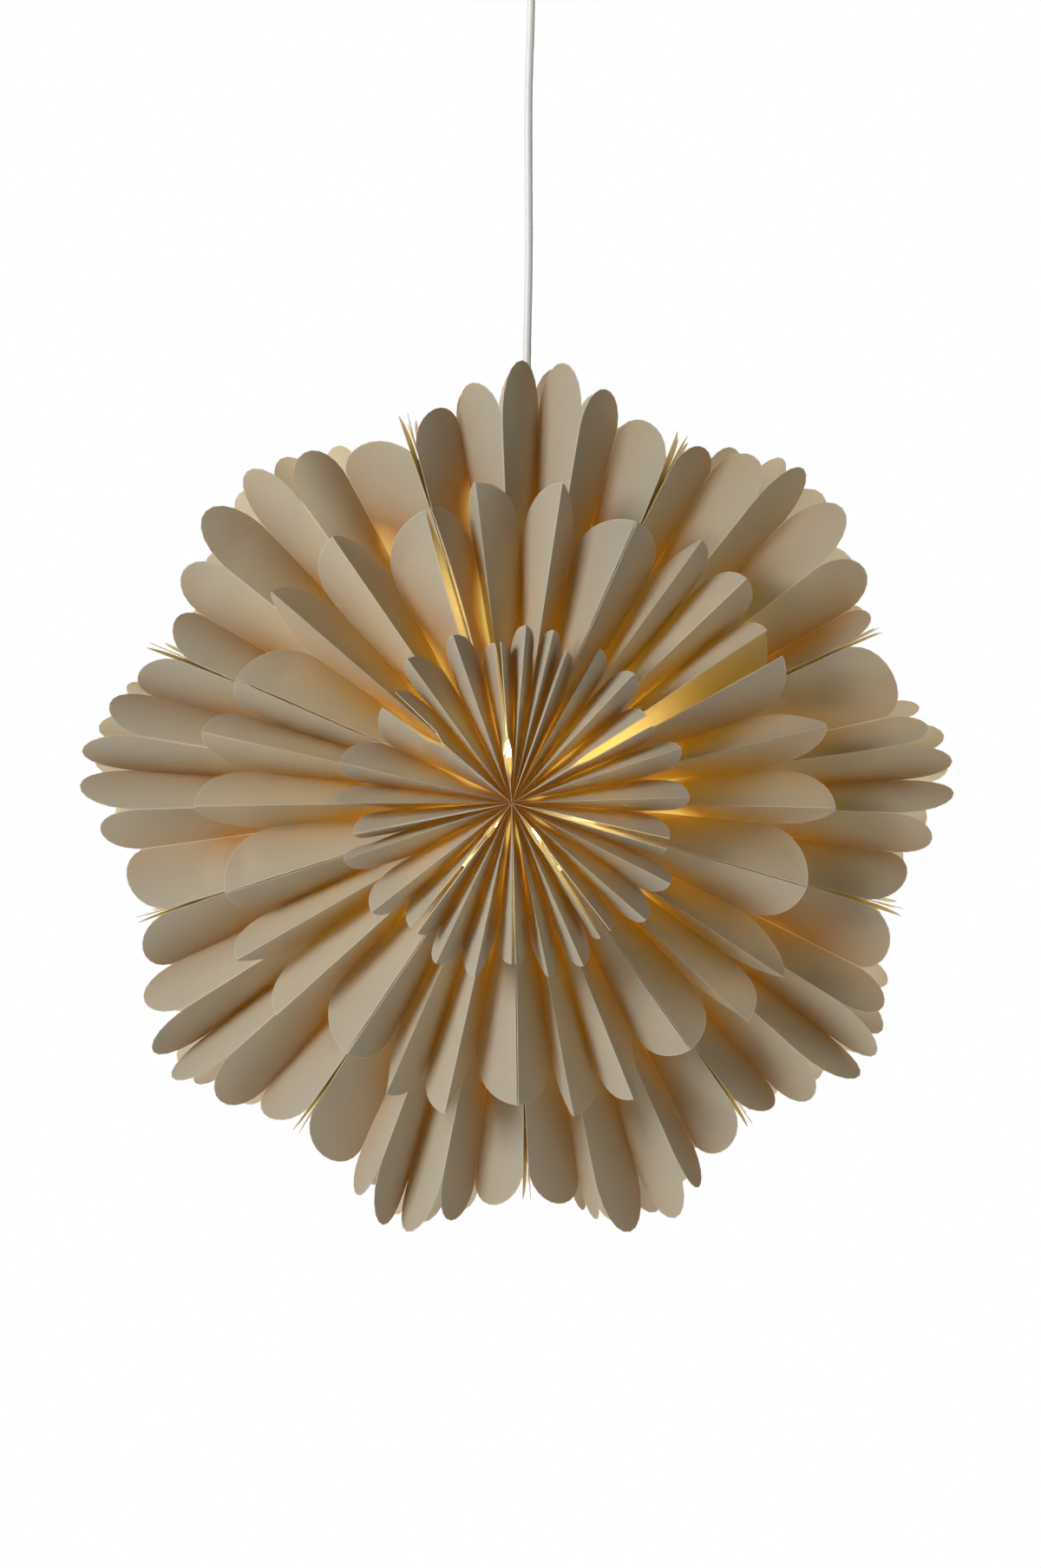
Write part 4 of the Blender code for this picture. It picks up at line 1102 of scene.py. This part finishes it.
@dataclass(frozen=True)
class Lamp:
    """The bulb, its lampholder and the cord grip. Heights are from the globe's centre."""

    globe_radius: float = 0.030
    neck_radius: float = 0.0128
    neck_top: float = 0.048
    base_low: float = 0.0483
    thread_pitch: float = 0.0036
    threads: int = 5
    base_radius: float = 0.0132
    thread_depth: float = 0.0009
    sleeve_low: float = 0.0463
    sleeve_top: float = 0.0813
    sleeve_radius: float = 0.01965
    sleeve_bore: float = 0.01515
    cap_top: float = 0.1076
    grip_low: float = 0.1092
    grip_top: float = 0.1242
    grip_radius: float = 0.0085
    waist_angle: float = 38.0
    cap_top_radius: float = 0.0085
    thread_radius: float = 0.0049

    def build(self, glass: Material, metal: Material, plastic: Material) -> None:
        """Builds the pieces that are turned finer than their CAD solids.

        Args:
            glass: The lit globe's finish.
            metal: The screw base's finish.
            plastic: The holder's finish.
        """
        settle(self.globe(glass), "bulb", Slot.FROSTED_GLASS, "bulb_globe")
        settle(self.screw_base(metal), "bulb", Slot.BULB_BASE, "bulb_screw_base")
        settle(self.sleeve(plastic), "pendant", Slot.WHITE_PLASTIC, "holder_sleeve")
        settle(self.cap(plastic), "pendant", Slot.WHITE_PLASTIC, "holder_cap")
        settle(self.grip(plastic), "pendant", Slot.WHITE_PLASTIC, "cord_grip")

    def globe(self, material: Material) -> Object:
        """The globe: a sphere that runs over a soft waist into the neck."""
        ball = arc((0.0, 0.0), self.globe_radius, -90.0, self.waist_angle, 40)
        edge = ball[-1]
        t = np.linspace(0.0, 1.0, 13)[1:, None]
        turn = np.radians(self.waist_angle)
        lower = edge + np.array((-np.sin(turn), np.cos(turn))) * 0.016
        upper = np.array((self.neck_radius, self.neck_top - 0.012))
        top = np.array((self.neck_radius, self.neck_top))
        waist = edge * (1 - t) ** 3 + 3 * lower * t * (1 - t) ** 2 + 3 * upper * t**2 * (1 - t) + top * t**3
        points = outline(ball, waist, (0.0, self.neck_top))
        return turned("globe_glass", points, 64, material, crease=40.0)

    def screw_base(self, material: Material) -> Object:
        """The screw base: a rolled thread as rings of a cosine wave, a glass collar and a contact tip."""
        height = np.linspace(0.0, self.threads * self.thread_pitch, self.threads * 8 + 1)
        wave = (1 - np.cos(2 * np.pi * height / self.thread_pitch)) / 2
        root = self.base_radius - self.thread_depth
        side = np.stack((root + self.thread_depth * wave, self.base_low + height), -1)
        top = self.base_low + self.threads * self.thread_pitch
        shoulder = np.array(((root - 0.001, top + 0.0008), (0.0072, top + 0.0030), (0.0052, top + 0.0040)))
        tip = np.array(((0.0050, top + 0.0046), (0.0035, top + 0.0060), (0.0, top + 0.0060)))
        return turned("screw_base", outline((0.0, self.base_low), side, shoulder, tip), 64, material)

    def sleeve(self, material: Material) -> Object:
        """The holder's sleeve, stepped in a little at its upper part."""
        step_low = self.sleeve_low + 0.55 * (self.sleeve_top - self.sleeve_low)
        step_top = self.sleeve_low + 0.60 * (self.sleeve_top - self.sleeve_low)
        points = outline(
            (self.sleeve_bore, self.sleeve_low),
            (self.sleeve_radius, self.sleeve_low),
            (self.sleeve_radius, step_low),
            (self.sleeve_radius - 0.0015, step_top),
            (self.sleeve_radius - 0.0015, self.sleeve_top),
            (self.sleeve_bore, self.sleeve_top),
        )
        return turned("holder_sleeve_moulding", rounded(points, 0.0012), 72, material, closed=True)

    def cap(self, material: Material) -> Object:
        """The holder's domed cap with the threaded neck that the grip screws onto."""
        low = self.sleeve_top + 0.0003
        dome = arc((0.0, 0.0), 1.0, 0.0, 90.0, 16)
        straight = low + 0.42 * (self.cap_top - low)
        across = self.cap_top_radius + (self.sleeve_radius - self.cap_top_radius) * dome[:, 0] ** 0.8
        dome = np.stack((across, straight + (self.cap_top - straight) * dome[:, 1]), -1)
        foot = outline((0.0, low), (self.sleeve_radius - 0.0008, low), (self.sleeve_radius, low + 0.0008))
        end = self.cap_top + 0.0026
        neck = outline((self.thread_radius, self.cap_top), (self.thread_radius, end), (0.0, end))
        return turned("holder_cap_moulding", outline(foot, dome, neck), 72, material)

    def grip(self, material: Material) -> Object:
        """The cord grip: a nut with a straight foot and a cone that closes on the cord."""
        height = self.grip_top - self.grip_low
        points = outline(
            (0.0, self.cap_top + 0.0029),
            (0.0052, self.cap_top + 0.0029),
            (0.0052, self.grip_low),
            (self.grip_radius, self.grip_low),
            (self.grip_radius, self.grip_low + 0.35 * height),
            (0.0071, self.grip_low + 0.45 * height),
            (0.0059, self.grip_top),
            (0.0, self.grip_top),
        )
        return turned("cord_grip_nut", rounded(points, 0.0008, closed=False), 64, material)


@dataclass(frozen=True)
class Cord:
    """The round cord from the terminal block down to the cord grip, pulled straight by the star."""

    diameter: float = 0.0059
    top: tuple[float, float] = (0.0, -0.0246)
    low: tuple[float, float] = (-0.0032, -0.5155)
    route: tuple = (
        (0.0000, -0.065), (0.0000, -0.080), (-0.0001, -0.095), (-0.0005, -0.112), (-0.0011, -0.130),
        (-0.0017, -0.150), (-0.0020, -0.173), (-0.0020, -0.200), (-0.0018, -0.230), (-0.0017, -0.259),
        (-0.0021, -0.292), (-0.0028, -0.325), (-0.0030, -0.360), (-0.0031, -0.400), (-0.0032, -0.440),
        (-0.0032, -0.480),
    )

    def centreline(self, steps: int = 6) -> Array:
        """A smooth curve through the route.

        On each stretch it is the cubic that passes both ends with the slope between their neighbours.

        Args:
            steps: Points on each stretch.

        Returns:
            Places, n by 3.
        """
        way = np.array((self.top, *self.route, self.low))
        padded = np.concatenate((2 * way[:1] - way[1:2], way, 2 * way[-1:] - way[-2:-1]))
        before, start, end, after = (padded[k : len(padded) - 3 + k, None] for k in range(4))
        t = (np.arange(steps) / steps)[None, :, None]
        pull = 2 * start + (end - before) * t + (2 * before - 5 * start + 4 * end - after) * t**2
        pull = (pull + (3 * start - before - 3 * end + after) * t**3) / 2
        flat = np.concatenate((pull.reshape(-1, 2), way[-1:]))
        return np.stack((flat[:, 0], np.zeros(len(flat)), flat[:, 1]), -1)

    def build(self, material: Material) -> None:
        """Args:
            material: The sheath.
        """
        places = self.centreline()
        curve = bpy.data.curves.new("white_cord", "CURVE")
        curve.dimensions = "3D"
        curve.bevel_depth = self.diameter / 2
        curve.bevel_resolution = 6
        curve.use_fill_caps = True
        spline = curve.splines.new("POLY")
        spline.points.add(len(places) - 1)
        spline.points.foreach_set("co", np.concatenate((places, np.ones((len(places), 1))), axis=1).ravel())
        spline.use_smooth = True
        curve.materials.append(material)
        made = link("white_cord", curve)
        settle(made, "pendant", Slot.WHITE_CABLE, "cord")


@dataclass(frozen=True)
class CeilingFitting:
    """The cup that covers the ceiling plate and the collar that holds the cup on the cord."""

    cup_height: float = 0.065
    rim_radius: float = 0.046
    floor_radius: float = 0.040
    corner: float = 0.010
    wall: float = 0.002

    def build(self, plastic: Material) -> None:
        """Builds the cup and its collar.

        Args:
            plastic: Their finish.
        """
        centre = np.zeros(3)
        floor = -self.cup_height
        middle = (self.floor_radius - self.corner, floor + self.corner)
        cup = outline(
            (0.0053, floor),
            arc(middle, self.corner, -90.0, 0.0, 14),
            (self.rim_radius - 0.0002, -0.0009),
            (self.rim_radius - 0.0004, -0.0003),
            (self.rim_radius - self.wall + 0.0004, -0.0003),
            (self.rim_radius - self.wall, -0.0009),
            arc(middle, self.corner - self.wall, 0.0, -90.0, 14),
            (0.0053, floor + self.wall),
        )
        cup = turned("ceiling_cup_moulding", cup, 96, plastic, centre, closed=True)
        settle(cup, "cup", Slot.WHITE_PLASTIC, "ceiling_cup")
        seat = floor - 0.0003
        collar = outline(
            (0.00355, seat - 0.009),
            (0.0070, seat - 0.009),
            (0.0085, seat - 0.0075),
            (0.0085, seat),
            (0.0050, seat),
            (0.0050, seat + 0.006),
            (0.00355, seat + 0.006),
        )
        collar = turned("cup_collar_moulding", rounded(collar, 0.0005), 64, plastic, centre, closed=True)
        settle(collar, "cup", Slot.WHITE_PLASTIC, "cup_collar")


def dress_node(node: str, material: Material) -> None:
    """Gives a CAD node that stays a better finish.

    Args:
        node: The node's name.
        material: The finish.
    """
    thing = bpy.data.objects[node]
    for place in thing.material_slots:
        place.material = material
    LOG.info("%s keeps its CAD shape in %s", node, material.name)


# The studio


@dataclass(frozen=True)
class Studio:
    """Camera, soft lights, pale floor and white surroundings."""

    distance: float = 3.5
    azimuth: float = 2.0
    elevation: float = 1.4
    frame_height: float = 1.0806
    key_power: float = 88.0
    fill_power: float = 7.0
    side_power: float = 3.5
    back_power: float = 85.0
    world_strength: float = 0.045
    aim_shift: tuple[float, ...] = (0.0006, 0.0, 0.0090)

    def camera(self) -> None:
        """Places the camera at the photograph's angle and aims it so that the star sits as it does there."""
        turn, rise = np.radians(self.azimuth), np.radians(self.elevation)
        away = np.array((np.sin(turn) * np.cos(rise), -np.cos(turn) * np.cos(rise), np.sin(rise)))
        data = bpy.data.cameras.new("camera")
        data.sensor_width = 36.0
        data.lens = 36.0 * self.distance / self.frame_height
        data.clip_end = 50.0
        made = link("camera", data)
        aim = STAR_CENTRE + np.array(self.aim_shift)
        made.location = Vector(aim + away * self.distance)
        made.rotation_euler = Vector(-away).to_track_quat("-Z", "Y").to_euler()
        bpy.context.scene.camera = made

    def light(self, name: str, place: tuple[float, ...], size: float, power: float, colour: Colour) -> None:
        """Adds a square soft light that looks at the star.

        Args:
            name: Its name.
            place: Where it stands, from the star's centre.
            size: Its side.
            power: Its power in watts.
            colour: Its colour.
        """
        data = bpy.data.lights.new(name, "AREA")
        data.size = size
        data.energy = power
        data.color = colour
        made = link(name, data)
        made.location = Vector(STAR_CENTRE + np.array(place))
        made.rotation_euler = Vector([-part for part in place]).to_track_quat("-Z", "Y").to_euler()

    def surroundings(self) -> None:
        """The world is white to the camera and in reflections, and gives a soft even light elsewhere."""
        board = NodeBoard("studio_world", world=True)
        path = board.add("ShaderNodeLightPath")
        seen = board.calculate("MAXIMUM", path.outputs["Is Camera Ray"], path.outputs["Is Glossy Ray"])
        strength = board.ramp(seen, 0.0, 1.0, self.world_strength, 1.0)
        background = board.add("ShaderNodeBackground", Color=(1.0, 1.0, 1.0), Strength=strength)
        bpy.context.scene.world = board.finish(background)

    def floor(self) -> None:
        """A floor well below the star: white to the camera but for a soft shadow, and clear from below."""
        board = NodeBoard("studio_floor")
        path = board.add("ShaderNodeLightPath").outputs["Is Camera Ray"]
        matt = board.add("ShaderNodeBsdfPrincipled", Base_Color=(0.9, 0.9, 0.9), Roughness=0.9)
        white = board.add("ShaderNodeEmission", Color=(1.0, 1.0, 1.0), Strength=1.0)
        place = board.add("ShaderNodeTexCoord").outputs["Object"]
        away = board.add("ShaderNodeVectorMath", {"operation": "LENGTH"}, i0=place).outputs["Value"]
        share = board.calculate("MULTIPLY", path, board.ramp(away, 2.2, 3.0, 0.96, 1.0))
        clear = board.add("ShaderNodeBsdfTransparent")
        below = board.add("ShaderNodeNewGeometry").outputs["Backfacing"]
        sided = board.mix(below, board.mix(share, matt, white), clear)
        side, height = 3.2, -2.0
        mesh = bpy.data.meshes.new("studio_floor")
        ground = [(-side, -side, height), (side, -side, height), (side, side, height), (-side, side, height)]
        mesh.from_pydata(ground, [], [(0, 1, 2, 3)])
        mesh.materials.append(board.finish(sided))
        link("studio_floor", mesh)

    def build_lights(self) -> None:
        """Adds the lights, the surroundings and the floor."""
        self.light("key_light", (-2.3, -2.2, 0.9), 1.4, self.key_power, (1.0, 0.985, 0.96))
        self.light("fill_light", (2.3, -2.1, -0.5), 1.8, self.fill_power, (0.97, 0.985, 1.0))
        self.light("left_side_light", (-2.2, -0.25, 0.1), 1.4, self.side_power, (1.0, 0.98, 0.95))
        self.light("right_side_light", (2.2, -0.25, 0.1), 1.4, self.side_power, (1.0, 0.98, 0.95))
        self.light("back_light", (1.2, 2.8, 1.2), 1.8, self.back_power, (1.0, 0.99, 0.97))
        self.surroundings()
        self.floor()
        bpy.context.scene.view_settings.view_transform = "Standard"


def main() -> None:
    """Makes the camera and the cord first, then the paper, the lamp, the ceiling fitting and the studio."""
    logging.basicConfig(level=logging.INFO, format="%(message)s")
    studio = Studio()
    studio.camera()
    cable = MouldedFinish("white_cord_sheath", (0.78, 0.79, 0.77), 0.38, 900.0, 0.04).make()
    plastic = MouldedFinish("white_moulding", (0.82, 0.82, 0.80)).make()
    ceramic = MouldedFinish("pale_ceramic_body", (0.85, 0.83, 0.78), 0.55, 700.0, 0.12).make()
    steel = MetalFinish("zinc_plate", (0.62, 0.63, 0.65)).make()
    brass = MetalFinish("pressed_brass", (0.72, 0.56, 0.28), 0.30).make()
    base_metal = MetalFinish("screw_base_metal", (0.70, 0.70, 0.70), 0.28, 0.9).make()
    Cord().build(cable)
    # the seams' paper carries a paler and stronger painted glow
    seam_paper = PaperFinish(
        name="greige_seam_paper", through_share=0.36, ember=(1.0, 0.82, 0.38), painted_glow_strength=0.55
    )
    rim_paper = PaperFinish(name="greige_rim_paper", through=(0.96, 0.89, 0.77), through_share=0.62)
    PaperStar().build(PaperFinish().make(), seam_paper.make(), rim_paper.make())
    Lamp().build(LitGlassFinish().make(), base_metal, plastic)
    CeilingFitting().build(plastic)
    for node, finish in (
        ("holder_screw_shell", brass),
        ("holder_centre_contact", brass),
        ("holder_insert", ceramic),
        ("star_bracket", steel),
        ("ceiling_plate", steel),
        ("terminal_block", plastic),
    ):
        dress_node(node, finish)
    studio.build_lights()
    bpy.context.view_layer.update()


if __name__ == "__main__":
    main()
